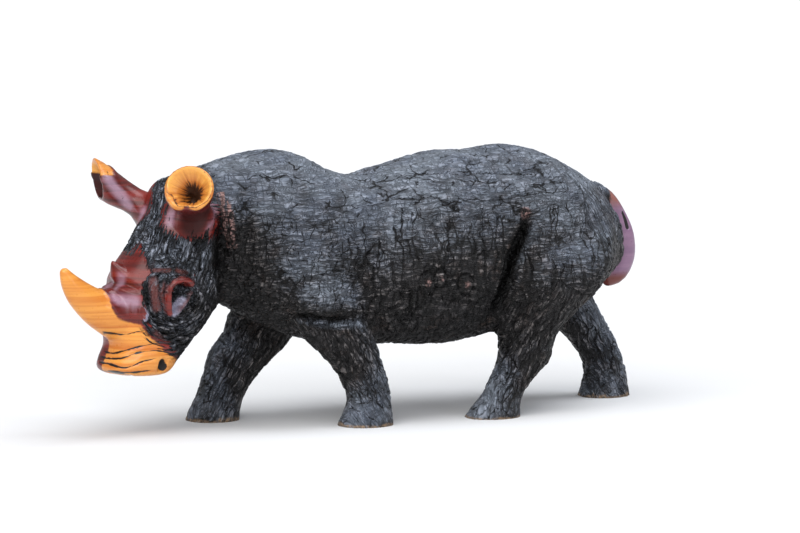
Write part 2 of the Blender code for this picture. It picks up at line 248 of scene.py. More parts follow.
def muzzle():
    """The broad blunt end of the head."""
    profile = [(98, -29, 25, 24), (108, -29, 26.5, 25), (117, -28.5, 27, 25.5), (125, -28, 25.5, 25)]
    tilted = OUT_OF_FACE * math.cos(MUZZLE_TILT) + DOWN_FACE * math.sin(MUZZLE_TILT)
    return loft("muzzle", middle_rows(profile), HEAD_LEFT, tilted, 14, around=36, square=2.35, dome=0.2)


# Each leg's lines are height, x, half length, half width, and how far outside the track line
NEAR_FRONT_LEG = [
    (150, -46, 26, 12, 2),
    (125, -42, 34, 19, 3),
    (100, -38, 34, 21, 4),
    (80, -32, 28, 20, 3),
    (58, -18, 23, 18, 1),
    (42, -7, 18, 16, 0),
    (28, -1, 16, 15, 0),
    (16, 1, 16, 15, 0),
    (7, -1, 19, 17, 0),
    (-SOLE_SINK, -3, 21, 18, 0),
]
FAR_FRONT_LEG = [
    (150, -50, 26, 12, 2),
    (125, -52, 32, 19, 3),
    (100, -51, 30, 21, 4),
    (80, -48, 26.5, 20, 3),
    (64, -52, 27, 18, 1),
    (50, -64, 27, 17, 0),
    (34, -75, 21, 15, 0),
    (20, -83, 17, 15, 0),
    (8, -88, 18.5, 17, 0),
    (-SOLE_SINK, -90, 20, 18, 0),
]
NEAR_HIND_LEG = [
    (154, 142, 24, 7, 0),
    (138, 146, 36, 14, 3.5),
    (116, 144, 41, 21, 8.5),
    (92, 137, 38, 23, 8),
    (72, 128, 27, 19, 3),
    (56, 122, 20, 17, 1),
    (42, 121, 20, 15, 0),
    (28, 111, 16, 14, 0),
    (15, 102, 15, 14, 0),
    (6, 97, 19, 16, 0),
    (-SOLE_SINK, 94, 22, 18, 0),
]
FAR_HIND_LEG = [
    (154, 144, 24, 7, 0),
    (138, 150, 36, 14, 3.5),
    (116, 160, 40, 21, 8.5),
    (92, 168, 36, 23, 8),
    (74, 181, 28, 19, 3),
    (60, 194, 22, 17, 1),
    (48, 205, 19, 15, 0),
    (36, 213, 16, 14, 0),
    (22, 219, 15, 14, 0),
    (10, 219, 17, 16, 0),
    (-SOLE_SINK, 217, 21, 18, 0),
]


def leg(name, sections, side_sign):
    """A leg from its lines of sections."""
    rows = [
        (x, side_sign * (TRACK / 2 + out), z, half_length, half_width)
        for z, x, half_length, half_width, out in sections
    ]
    return loft(name, rows, (1, 0, 0), (0, 1, 0), 30, around=24, square=2.2, dome=0.2)


def legs():
    left, right = -1, 1
    return [
        leg("near_front_leg", NEAR_FRONT_LEG, left),
        leg("far_front_leg", FAR_FRONT_LEG, right),
        leg("near_hind_leg", NEAR_HIND_LEG, left),
        leg("far_hind_leg", FAR_HIND_LEG, right),
    ]


def front_horn():
    """The long horn, which sweeps forward and up from the nose."""
    profile = [
        (96, -12, 18, 18),
        (97, 3, 16, 16),
        (97.5, 15, 13, 13.5),
        (96, 27, 10.3, 11.2),
        (93, 38, 8, 9),
        (88.5, 47.5, 5.4, 6),
        (84, 54, 2.8, 3),
    ]
    return tube_loft("front_horn", middle_rows(profile), HEAD_LEFT, 26)


def rear_horn():
    """The low second horn, a small pointed crest between the eyes and the long horn."""
    profile = [(72, 2, 17, 15), (70, 8, 12, 10), (67, 14, 6, 5), (64, 19, 1, 1)]
    return tube_loft("rear_horn", middle_rows(profile), HEAD_LEFT, 12, square=1.3)


class Ear:
    """A trumpet-shaped ear.

    Mouth is the middle of its rim, and faces is where its hollow looks: shares of forwards, sideways and up.
    """

    def __init__(self, name, side, mouth, faces):
        self.name = name
        self.base = np.array(on_head(19, -18, side * 23))
        self.neck = np.array(on_head(11, -5, side * 37))
        self.mouth = np.array(on_head(*mouth))
        forward = np.array((-math.cos(HEAD_TURN), -math.sin(HEAD_TURN), 0))
        axis = faces[0] * forward + faces[1] * side * np.array(HEAD_LEFT) + faces[2] * np.array((0, 0, 1))
        self.axis = unit(axis)

    def centre(self, t):
        return (1 - t) ** 2 * self.base + 2 * t * (1 - t) * self.neck + t * t * self.mouth

    def mesh(self):
        stalk = unit(self.neck - self.base)
        wall = EAR_WALL / UNIT
        outer = [(0, 18), (0.2, 13.5), (0.4, 11), (0.58, 11.8), (0.75, 14.4), (0.9, 17), (1, EAR_RADIUS)]
        inner = [(1.02, EAR_RADIUS - wall / 2), (1, EAR_RADIUS - wall)]
        inner += [(0.95, 13.2), (0.89, 9.6), (0.81, 7.2), (0.7, 5), (0.6, 2.4)]
        angles = np.linspace(0, 2 * math.pi, 32, endpoint=False)
        notch = np.exp(-(((angles - math.pi * 1.5) / 0.34) ** 2))

        def ring(t, radius):
            share = min(t, 1)
            level, upright = level_and_upright(unit(stalk * (1 - share) + self.axis * share))
            radius = radius * (1 - 0.16 * share**4 * notch)
            return self.centre(t) + np.outer(radius * np.cos(angles), level) + np.outer(
                EAR_ROUNDNESS * radius * np.sin(angles), upright
            )

        rings = [ring(t, radius) for t, radius in outer + inner]
        return closed_mesh(self.name, rings, self.base - stalk * 6, self.centre(inner[-1][0] - 0.03))


NEAR_EAR = Ear("near_ear", 1, mouth=(5, 15, 50), faces=(0.80, 0.52, 0.28))
FAR_EAR = Ear("far_ear", -1, mouth=(8, 18, -51), faces=(0.90, 0.40, -0.15))

# The tail lies down the middle of the rump and curls in at its end
TAIL_PATH = [
    (184, 0, 157, 9, 7),
    (199, 0, 149, 9, 8.5),
    (209, 0, 135, 8.5, 9),
    (215.5, 0, 120, 8, 9),
    (215, 0, 105, 8, 9),
    (209, 0, 95, 7.5, 8),
    (201, 0, 92, 7, 6.5),
]


def tail():
    return tube_loft("tail", TAIL_PATH, (0, 1, 0), 24, around=18)


def placed(name, data):
    """A new object in the scene, which holds a mesh, a light or a camera."""
    holder = bpy.data.objects.new(name, data)
    bpy.context.scene.collection.objects.link(holder)
    return holder


def evaluated_mesh(holder):
    bpy.context.view_layer.update()
    graph = bpy.context.evaluated_depsgraph_get()
    return bpy.data.meshes.new_from_object(holder.evaluated_get(graph))


def fused(name, meshes, voxel, passes):
    """One closed mesh around all the given ones, evenly faceted and smoothed."""
    joined = bmesh.new()
    for mesh in meshes:
        joined.from_mesh(mesh)
    whole = bpy.data.meshes.new(name)
    joined.to_mesh(whole)
    joined.free()
    holder = placed(name, whole)
    remesh = holder.modifiers.new("fuse", "REMESH")
    remesh.mode = "VOXEL"
    remesh.voxel_size = voxel * UNIT
    smooth = holder.modifiers.new("blend", "SMOOTH")
    smooth.factor = 0.5
    smooth.iterations = passes
    made = evaluated_mesh(holder)
    bpy.data.objects.remove(holder)
    return made


def read_points(mesh):
    """The mesh's points in design units, and their normals."""
    read = []
    for name in ("co", "normal"):
        values = np.empty(len(mesh.vertices) * 3, np.float32)
        mesh.vertices.foreach_get(name, values)
        read.append(values.reshape(-1, 3).astype(float))
    return read[0] / UNIT, read[1]


def write_points(mesh, points):
    mesh.vertices.foreach_set("co", (points * UNIT).astype(np.float32).ravel())
    mesh.update()


# Tools for the carving

def nearest_on(points, path):
    """For each point, the distance to a line through the path's points, and how far along it that is."""
    path = np.array(path, float)
    steps = np.linalg.norm(np.diff(path, axis=0), axis=1)
    starts = np.concatenate([[0.0], np.cumsum(steps)])
    nearest = np.full(len(points), np.inf)
    place = np.zeros(len(points))
    for a, b, step, start in zip(path[:-1], path[1:], steps, starts):
        along = (b - a) / step
        t = np.clip((points - a) @ along, 0, step)
        distance = np.linalg.norm(points - a - t[:, None] * along, axis=1)
        closer = distance < nearest
        nearest[closer] = distance[closer]
        place[closer] = start + t[closer]
    return nearest, place, starts[-1]


def beside_path(points, path, reach):
    """Which points lie in the box around a path, with a margin of the given reach."""
    return np.flatnonzero(((points > path.min(0) - reach) & (points < path.max(0) + reach)).all(axis=1))


def near_path(points, path, radius, run_out=RUN_OUT):
    """1 on a line through the path's points, falling smoothly to 0 at the radius.

    A path several times longer than it is wide also runs out at both ends.
    """
    path = np.array([tuple(p) for p in path], float)
    close = beside_path(points, path, radius)
    nearest, place, length = nearest_on(points[close], path)
    near = np.clip(1 - (nearest / radius) ** 2, 0, 1) ** 2
    if length > 4 * radius:
        to_end = np.minimum(place, length - place) / (run_out * length)
        near *= np.sin(np.clip(to_end, 0, 1) * math.pi / 2)
    share = np.zeros(len(points))
    share[close] = near
    return share


def near_head_path(points, places, radius):
    """The same for a path in places on the head's left side, and for its mirror image on the right."""
    sides = [[on_head(down, out, side * left) for down, out, left in places] for side in (1, -1)]
    return np.maximum(*(near_path(points, path, radius) for path in sides))


def rising(values, low, high):
    """0 below low, 1 above high, and a smooth rise between them. Low may be the greater."""
    t = np.clip((values - low) / (high - low), 0, 1)
    return t * t * (3 - 2 * t)


def scattered(cells, seed):
    """An even spread of numbers from 0 to 1, one for each whole-numbered cell."""
    cells = cells.astype(np.int64).astype(np.uint32)
    mixed = cells[..., 0] * np.uint32(374761393) + cells[..., 1] * np.uint32(668265263)
    mixed = mixed + cells[..., 2] * np.uint32(2246822519) + np.uint32(seed * 3266489917 % 2**32)
    mixed = (mixed ^ (mixed >> np.uint32(13))) * np.uint32(1274126177)
    mixed = (mixed ^ (mixed >> np.uint32(16))) * np.uint32(2654435761)
    return (mixed ^ (mixed >> np.uint32(15))).astype(float) / 2**32


def noise(points, size, seed):
    """Smooth noise from -1 to 1 with features of about the given size, which may differ by axis."""
    places = points / np.asarray(size, float)
    cells = np.floor(places)
    part = places - cells
    part = part * part * (3 - 2 * part)
    total = np.zeros(len(points))
    for corner in np.ndindex(2, 2, 2):
        share = np.ones(len(points))
        for axis, side in enumerate(corner):
            share *= part[:, axis] if side else 1 - part[:, axis]
        total += share * scattered(cells + corner, seed)
    return total * 2 - 1


def plates(places, size, seed):
    """How far each place is from the edge of the plate that it is on, and a number for that plate.

    The plates are the cells around scattered points, and size is how far those lie apart on each axis.
    """
    size = np.asarray(size, float)
    scaled = places / size
    cells = np.floor(scaled)
    first = np.full(len(places), np.inf)
    second = np.full(len(places), np.inf)
    here = np.zeros_like(scaled)
    beside = np.zeros_like(scaled)
    number = np.zeros(len(places))
    for offset in np.ndindex(3, 3, 3):
        cell = cells + (np.array(offset) - 1)
        jitter = np.stack([scattered(cell, seed + k) for k in range(3)], axis=1)
        spot = cell + 0.5 + (jitter - 0.5) * PLATE_UNEVENNESS
        distance = ((spot - scaled) ** 2).sum(axis=1)
        nearer = distance < first
        between = ~nearer & (distance < second)
        second = np.where(nearer, first, np.where(between, distance, second))
        beside = np.where(nearer[:, None], here, np.where(between[:, None], spot, beside))
        first = np.where(nearer, distance, first)
        here = np.where(nearer[:, None], spot, here)
        number = np.where(nearer, jitter[:, 0], number)
    across = here - beside
    across /= np.linalg.norm(across, axis=1, keepdims=True) + 1e-9
    edge = ((scaled - (here + beside) / 2) * across).sum(axis=1)
    edge /= np.linalg.norm(across / size, axis=1) + 1e-9
    return np.maximum(edge, 0), number


def head_places(points):
    """Each point's distance down the face, out of the face and to the left."""
    from_poll = points - np.array(POLL)
    return np.stack([from_poll @ np.array(axis) for axis in (DOWN_FACE, OUT_OF_FACE, HEAD_LEFT)], axis=1)


# The folds and hollows that the solid has too

# The creases of the flanks and elbows. They are folds with a sharper groove along the middle
NEAR_FLANK = [(108, -60, 130), (101, -61, 114), (96.5, -58, 95), (91, -46, 66)]
FAR_FLANK = [(121, 60, 130), (119, 61, 114), (123, 58, 95), (132, 46, 72)]
ELBOW = [(-66, -38, 80), (-51, -52, 79.7), (-31, -57, 78.5), (-9, -50, 79.5)]
FAR_LEG_LEAD = 14


def mirrored(path, forward=0):
    """A path of the near side on the far side, as far forward as given."""
    return [(x - forward, -y, z) for x, y, z in path]


def body_folds():
    """Folds and hollows of the body: radius, depth and path. A negative depth raises the surface."""
    near = [
        (8, 8, [(-111, -36, 158), (-111, -38, 136), (-111, -37, 119), (-108, -28, 98)]),
        (16, 5, [(-106, -38, 130), (-99, -36, 108), (-94, -22, 88)]),
        (8, -2, [(-101, -32, 170), (-101, -39, 150), (-101, -41, 126)]),
        (6, 3, [(-94, -32, 173), (-93.5, -40, 152), (-92, -43, 136), (-95, -40, 114)]),
        (17, 2.4, [(-26, -47, 158), (-27, -53, 132), (-26, -56, 114), (-19, -56, 99), (-9, -50, 82)]),
        (6, 4.5, [(199, -10, 152), (206, -11, 142), (209, -12, 128), (207, -12, 112), (201, -11, 100)]),
    ]
    shoulder = [
        (7, 4.5, ELBOW),
        (14, -2.2, [(-74, -42, 91), (-55, -55, 93), (-39, -58, 93), (-12, -56, 92)]),
    ]
    near_flank = [
        (8, 10, [(115, -57, 149), *NEAR_FLANK]),
        (18, 3.5, [(104, -60, 142), (92, -60, 108), (86, -57, 92), (80, -42, 62)]),
    ]
    far_flank = [
        (8, 10, [(126, 56, 152), *FAR_FLANK]),
        (18, 3.5, [(116, 60, 142), (109, 60, 108), (112, 57, 92), (118, 42, 64)]),
    ]
    far = [(radius, depth, mirrored(path)) for radius, depth, path in near]
    far += [(radius, depth, mirrored(path, FAR_LEG_LEAD)) for radius, depth, path in shoulder]
    return near + shoulder + near_flank + far + far_flank


# The rims of the eye, a strip over its lid and a knob in front of it, in places on the head's left side
LID = [(84, -21, 29.4), (77.3, -16, 30), (71.9, -13.4, 30.3), (67.4, -12.7, 30.8), (63.6, -14.4, 31.7),
       (60.4, -18, 32.8), (59.2, -22, 33.7), (60, -26, 34.1)]
EYE_FLOOR_EDGE = [(62.2, -27.6, 34), (66, -28.6, 33.3), (70.4, -28.2, 32.7), (77.2, -27, 31.3),
                  (83.4, -25, 30)]
STRIP_OVER_LID = [(64, -7.4, 28.8), (73.6, -9, 28.8), (80.6, -14, 29), (87, -20, 28.6)]
KNOB = [(86, -1.6, 22), (89, -1.4, 21), (93, -3.6, 21.6), (94.4, -7.4, 23.4), (91, -6.8, 23.6),
        (88, -4, 22.8), (86, -1.6, 22)]
# How far down the face and out of it the middle of the eye lies
EYE_MIDDLE = (71, -21)

# Folds and wrinkles of the head: radius, depth and path in places on its left side
HEAD_FOLDS = [
    (3.3, -2.9, LID),
    (2.4, -1.3, EYE_FLOOR_EDGE),
    (1.9, 1.9, [(63, -7, 28.4), (66, -9, 29.4), (73.1, -10.4, 29.3), (80.6, -15, 29.4), (88, -22, 29)]),
    (1.7, -0.9, STRIP_OVER_LID),
    (1.8, 1.6, [(63, -4, 26.8), (66, -6, 28), (74.1, -7.4, 28.2), (81, -12, 28.6), (87, -18, 28)]),
    (2.6, 1.7, [(68.1, 0.6, 23.4), (63.1, -5.1, 27.4), (59, -11.3, 30.4), (56.4, -18.6, 33), (57, -25, 34)]),
    (2.0, -1.1, [(65.5, -3, 26), (61.4, -9.5, 29.6), (58.2, -16, 32.2)]),
    (2.0, 1.4, [(62.8, -2, 25.6), (59.8, -5.6, 27.8), (57, -10.4, 30.2), (54.6, -16, 32.2)]),
    (4.5, 2.2, [(78, 2, 20), (77, 7, 15.7), (76, 10.5, 8), (77, 12, 0), (76, 10.5, -8)]),
    (4.5, -2.4, [(83, 0, 21), (81, 6, 16), (80, 10, 9), (83, 13, 3), (83, 13, -3), (80, 10, -9)]),
    (4.6, 5.5, [(117, -32, 26), (118.5, -32.4, 25.9), (120.4, -33.2, 25.6)]),
    (1.9, -1.5, KNOB),
]


# The cracks across the muzzle, in places on the head
MUZZLE_MIDDLE = -29.0
MUZZLE_LINES = [
    [(113, 7, -2), (111, 7.3, 6), (108.3, -0.9, 12.4), (102.8, -7.6, 20.8), (99.5, -14, 23.5)],
    [(121, -5, -10), (121.1, -5.2, 4.2), (116.8, -7.9, 15.2), (111.5, -13.1, 22.1), (106.5, -21.3, 25.5),
     (104, -28, 26.5)],
    [(124.6, -5, -12), (125.7, -4.9, 1.5), (123.1, -7.1, 13.1), (117.7, -11.2, 19.8), (112.9, -18.3, 24.6),
     (109.1, -29.6, 26.5), (108.5, -41.5, 23.6)],
    [(129, -5, -12), (129.3, -5, 0.9), (128.5, -10.6, 18.5), (121.6, -16.4, 23.8), (117.5, -22.1, 25.8),
     (114, -27, 26.8)],
    [(135, -7, -8), (134.4, -8, 4), (132.5, -12.3, 15.3), (130.2, -16.5, 20.4), (126.1, -22.2, 24.1),
     (123.8, -26.8, 25.2)],
]


def muzzle_lines(points):
    """Where each point lies among the muzzle's cracks, how far apart they are there, and their share.

    The first is a whole number on each crack, and it grows steadily from one to the next.
    """
    from_poll, out, left = head_places(points).T
    around = np.arctan2(out - MUZZLE_MIDDLE, left)
    # Each line's distance from the poll on the way round the muzzle, and how far round it goes
    lines, spans = [], []
    for line in MUZZLE_LINES:
        down, line_out, line_left = smooth_rows(line, 30).T
        turn = np.arctan2(line_out - MUZZLE_MIDDLE, line_left)
        order = np.argsort(turn)
        lines.append(np.interp(around, turn[order], down[order]))
        spans.append((turn.min(), turn.max()))
    lines = np.sort(np.stack(lines, axis=1) + noise(points, 8, 85)[:, None] * 0.3, axis=1)
    lines = np.concatenate([lines[:, :1] - 7, lines, lines[:, -1:] + 6], axis=1)
    span = np.clip((from_poll[:, None] > lines).sum(axis=1) - 1, 0, lines.shape[1] - 2)
    rows = np.arange(len(points))
    gap = np.maximum(lines[rows, span + 1] - lines[rows, span], 0.8)
    phase = span + np.clip((from_poll - lines[rows, span]) / gap, 0, 1)
    nearest = np.clip(np.round(phase).astype(int), 1, len(MUZZLE_LINES)) - 1
    low, high = np.array(spans)[nearest].T
    share = rising(around, low, low + 0.25) * rising(around, high, high - 0.18)
    share = share * rising(from_poll, 92, 97) * rising(np.abs(phase - nearest - 1), 0.5, 0.45)
    share = share * (points[:, 0] < MUZZLE_BACK) * np.where(nearest == 0, 0.5, 1.0)
    return phase, gap, share


def inside_outline(places, outline):
    """How far inside a closed outline each flat place is. It is negative outside."""
    outline = np.array([*outline, outline[0]], float)
    nearest, _, _ = nearest_on(places, outline)
    crossings = np.zeros(len(places), int)
    for a, b in zip(outline[:-1], outline[1:]):
        crosses = (a[1] > places[:, 1]) != (b[1] > places[:, 1])
        height = b[1] - a[1] if b[1] != a[1] else 1e-9
        crossings += crosses & (places[:, 0] < a[0] + (places[:, 1] - a[1]) / height * (b[0] - a[0]))
    return np.where(crossings % 2 == 1, nearest, -nearest)


def on_side(points, places, middle, reach, left):
    """Which points of the head lie further to a side than left, within reach of a place seen from there."""
    near = np.hypot(*(places[:, :2] - middle).T) < reach
    return np.flatnonzero(near & (np.abs(places[:, 2]) > left) & (points[:, 0] < HEAD_BACK))


def side_distance(points, line, reach):
    """How far each point on a side of the head is from a line of places, as seen from that side."""
    places = head_places(points)
    line = np.array(line, float)[:, :2]
    close = on_side(points, places, line.mean(axis=0), reach, 12)
    distance = np.full(len(points), FAR_AWAY)
    distance[close], _, _ = nearest_on(places[close, :2], line)
    return distance


def eye_hollows(points):
    """The hollow of each eye: deep and steep under the lid, rising from there to its lower edge."""
    places = head_places(points)
    depth = np.zeros(len(points))
    close = on_side(points, places, EYE_MIDDLE, 20, 20)
    flat = places[close, :2]
    inside = inside_outline(flat, [place[:2] for place in LID + EYE_FLOOR_EDGE])
    from_lid, _, _ = nearest_on(flat, [place[:2] for place in LID])
    depth[close] = 5.6 * rising(inside, 0, 1.5) * rising(from_lid, 0.9, 3.4) * rising(from_lid, 17, 4)
    return depth


def form_depth(points):
    """How deep the folds, eye hollows and wrinkles go at each point."""
    depth = np.zeros(len(points))
    for radius, deep, path in body_folds():
        depth += deep * near_path(points, path, radius)
    for radius, deep, places in HEAD_FOLDS:
        depth += deep * near_head_path(points, places, radius)
    return depth + eye_hollows(points)


# Where the wood is polished, and where it is pale

# The middle of the near ear's hole, across and up from the middle of its mouth
HOLE_MIDDLE = (-0.4, -2.2, 0.0)

# The edge of the polished nose: how far out of the face, and how far down it the polish starts there
NOSE_EDGE = [(-60, 113), (-45, 109), (-33.5, 106.6), (-15, 102.8), (-8, 96), (-2.4, 86), (1, 75),
             (3.4, 60), (4.7, 52), (8, 46), (60, 30)]
# The edge of the pale wood, in the same way
PALE_EDGE = [(-60, 111), (-41, 109.2), (-29.4, 108.1), (-15, 102.8), (-6, 98), (8, 100), (14, 96.5),
             (20, 87), (26, 76), (60, 50)]


def edge_distance(places, edge, slope):
    out, down = np.array(edge, float).T
    return (places[:, 0] - np.interp(places[:, 1], out, down)) * slope


def woods(points, normals):
    """What kind of wood each point is.

    Gives how far inside the polished wood and the pale wood it is, how deep in an ear's hollow it is and how
    dark the painted shade there is, its place in that ear's mouth, and how far the hide frays there.
    """
    places = head_places(points)
    x, y, z = points.T
    down, out, left = places.T
    wander = noise(points, 7, 11) * 1.8 + noise(points, 2.6, 12) * 1.2
    aside = 2.4 * noise(points, 9, 18) + 1.4 * noise(points, 3.5, 19)
    polish = edge_distance(places + aside[:, None] * (0, 1, 0), NOSE_EDGE, 0.75) + wander
    off_head = (x > HEAD_BACK + 5) | (z < HEAD_BOTTOM)
    polish = np.where(off_head, -60, polish)
    pale = edge_distance(places, PALE_EDGE, 0.8) + noise(points, 9, 13)
    inner_side = left + 4 + noise(points, 8, 14) * 1.5 + np.clip(out - 4, 0, 30) * 3
    pale = np.minimum(pale, inner_side)
    pale = np.where(off_head, -60, pale)
    hole = np.zeros(len(points))
    mouth = np.zeros((len(points), 3))
    fray = np.full(len(points), 0.6)
    for ear in (NEAR_EAR, FAR_EAR):
        stations = np.linspace(0, 1, 21)
        centres = np.array([ear.centre(t) for t in stations])
        distance, place, length = nearest_on(points, centres)
        along = place / length
        middle = np.stack([np.interp(along, stations, centres[:, axis]) for axis in range(3)], axis=1)
        facing = (normals * (points - middle)).sum(axis=1) / (distance + 1e-6)
        from_mouth = points - ear.mouth
        ahead = from_mouth @ ear.axis
        on_ear = (distance < 25) & ((along > 0.02) | (down < 36))
        skirt = np.interp(out, [-24, -14, -3], [15.3, 16.5, 22.5]) + 14 * along
        skirt = skirt - 0.25 * np.clip(down - 20, 0, 20)
        skirt = np.where(along > 0.3, 9, skirt - distance) + wander
        polish = np.where(on_ear, np.maximum(polish, skirt), polish)
        fray = np.where(on_ear, 1.0, fray)
        wall = np.interp(along, [0.55, 0.7, 0.81, 0.89, 0.95, 1.0], [6, 8.5, 10.3, 12.4, 14.8, 16.8])
        inside = (along > 0.5) & (distance < wall) & (facing < 0.5)
        across, up = (from_mouth @ direction for direction in level_and_upright(ear.axis))
        below = np.exp(-(((np.arctan2(up, across) + math.pi / 2) / 0.3) ** 2))
        if ear is NEAR_EAR:
            flare = np.where(inside, 10.0 - 13 * below * rising(np.hypot(across, up), 11, 13.5),
                             ahead + 2.2 - 3 * below + noise(points, 5, 16))
            darkness = 2.0
        else:
            flare = np.minimum(from_mouth[:, 2] - 4.5, ahead + 8.5) + noise(points, 6, 15) * 1.2
            darkness = 1.2 * rising(from_mouth[:, 2], 14, 4)
        pale = np.where(on_ear & (along > 0.5), np.maximum(pale, flare), pale)
        hole = np.where(inside, darkness, hole)
        mouth = np.where(inside[:, None], np.stack([across, up, np.zeros(len(points))], axis=1), mouth)
    lid = 2.3 + 0.5 * noise(points, 6, 17) - side_distance(points, LID, 32)
    fray = np.where(lid > -3, 0.12, fray)
    polish = np.maximum(polish, lid)
    on_tail, _, _ = nearest_on(points, [row[:3] for row in TAIL_PATH])
    on_tail = np.minimum(12.2 - on_tail, 12.5 - np.abs(y)) + wander * 0.4
    on_tail = np.minimum(on_tail, np.maximum(x - 202, 125 - z))
    polish = np.where(x > TAIL_FRONT, on_tail, polish)
    fray = np.where(x > TAIL_FRONT, 0.1, fray)
    return polish, pale, hole, mouth, fray


# The hide

def leg_share(points, sections, side, top):
    """1 on a leg below its top, 0 away from it."""
    x, y, z = points.T
    heights, middles, halves = np.array(sections, float)[::-1, :3].T
    from_middle = np.abs(x - np.interp(z, heights, middles))
    inside = rising(from_middle / np.interp(z, heights, halves), 1.35, 1.1)
    return inside * rising(z - top, 7, -7) * rising(side * y, 2, 10)


def turned(points, lean):
    """The points seen along a direction in the x-z plane that leans forwards by the given angle."""
    x, y, z = points.T
    c, s = math.cos(math.radians(lean)), math.sin(math.radians(lean))
    return np.stack([x * c - z * s, y, x * s + z * c], axis=1)


def strand(places, size, seed, width):
    """Long wandering lines that cross no plates: 1 on a line, 0 away from it."""
    level = noise(places, size, seed)
    step = 0.05 * min(size)
    slopes = [(noise(places + step * np.eye(3)[axis], size, seed) - level) / step for axis in range(3)]
    distance = np.abs(level) / (np.sqrt(sum(slope**2 for slope in slopes)) + 0.02)
    return 1 - rising(distance, 0.15, width)


def hide_field(places, seed, cells, lines):
    """How deep one kind of hide's relief is.

    Cells are its plates: their size, their cracks' width and depth, how much of them is cracked, and how far
    each plate swells. Lines are its long cracks: their spacing, width and depth.
    """
    size, width, deep, whole, swell = cells
    edge, number = plates(places, size, seed)
    broken = rising(noise(places, np.asarray(size) * 1.7, seed + 50), -whole, 0.7 - whole)
    in_crack = (1 - rising(edge, 0.2, width)) * broken
    depth = deep * in_crack - swell * (1 - np.exp(-edge / 2.0)) + (0.5 - number) * swell * 0.7
    if lines:
        spacing, width, deep = lines
        line = strand(places, spacing, seed + 60, width)
        line *= rising(noise(places, np.asarray(spacing) * 1.3, seed + 70), -0.45, 0.1)
        depth += deep * line
    return depth


# Each leg's hide: its sections, side and top, how far its cracks lean, its seed, its plates, and how far
# apart its thin cracks are
LEG_HIDES = [
    (NEAR_FRONT_LEG, -1, 76, -27, 131, ((3.5, 8, 11), 0.9, 0.8, 0.6, 0.5), (3.6, 9, 12)),
    (FAR_FRONT_LEG, 1, 76, 28, 137, ((3.8, 8, 11), 0.9, 0.8, 0.6, 0.5), (4.5, 9, 14)),
    (NEAR_HIND_LEG, -1, 92, 22, 143, ((3.9, 8, 12), 0.9, 0.8, 0.5, 0.5), (4.4, 9, 17)),
    (FAR_HIND_LEG, 1, 92, -27, 149, ((4.0, 8, 12), 1.0, 1.3, 0.6, 1.0), (4, 9, 14)),
]


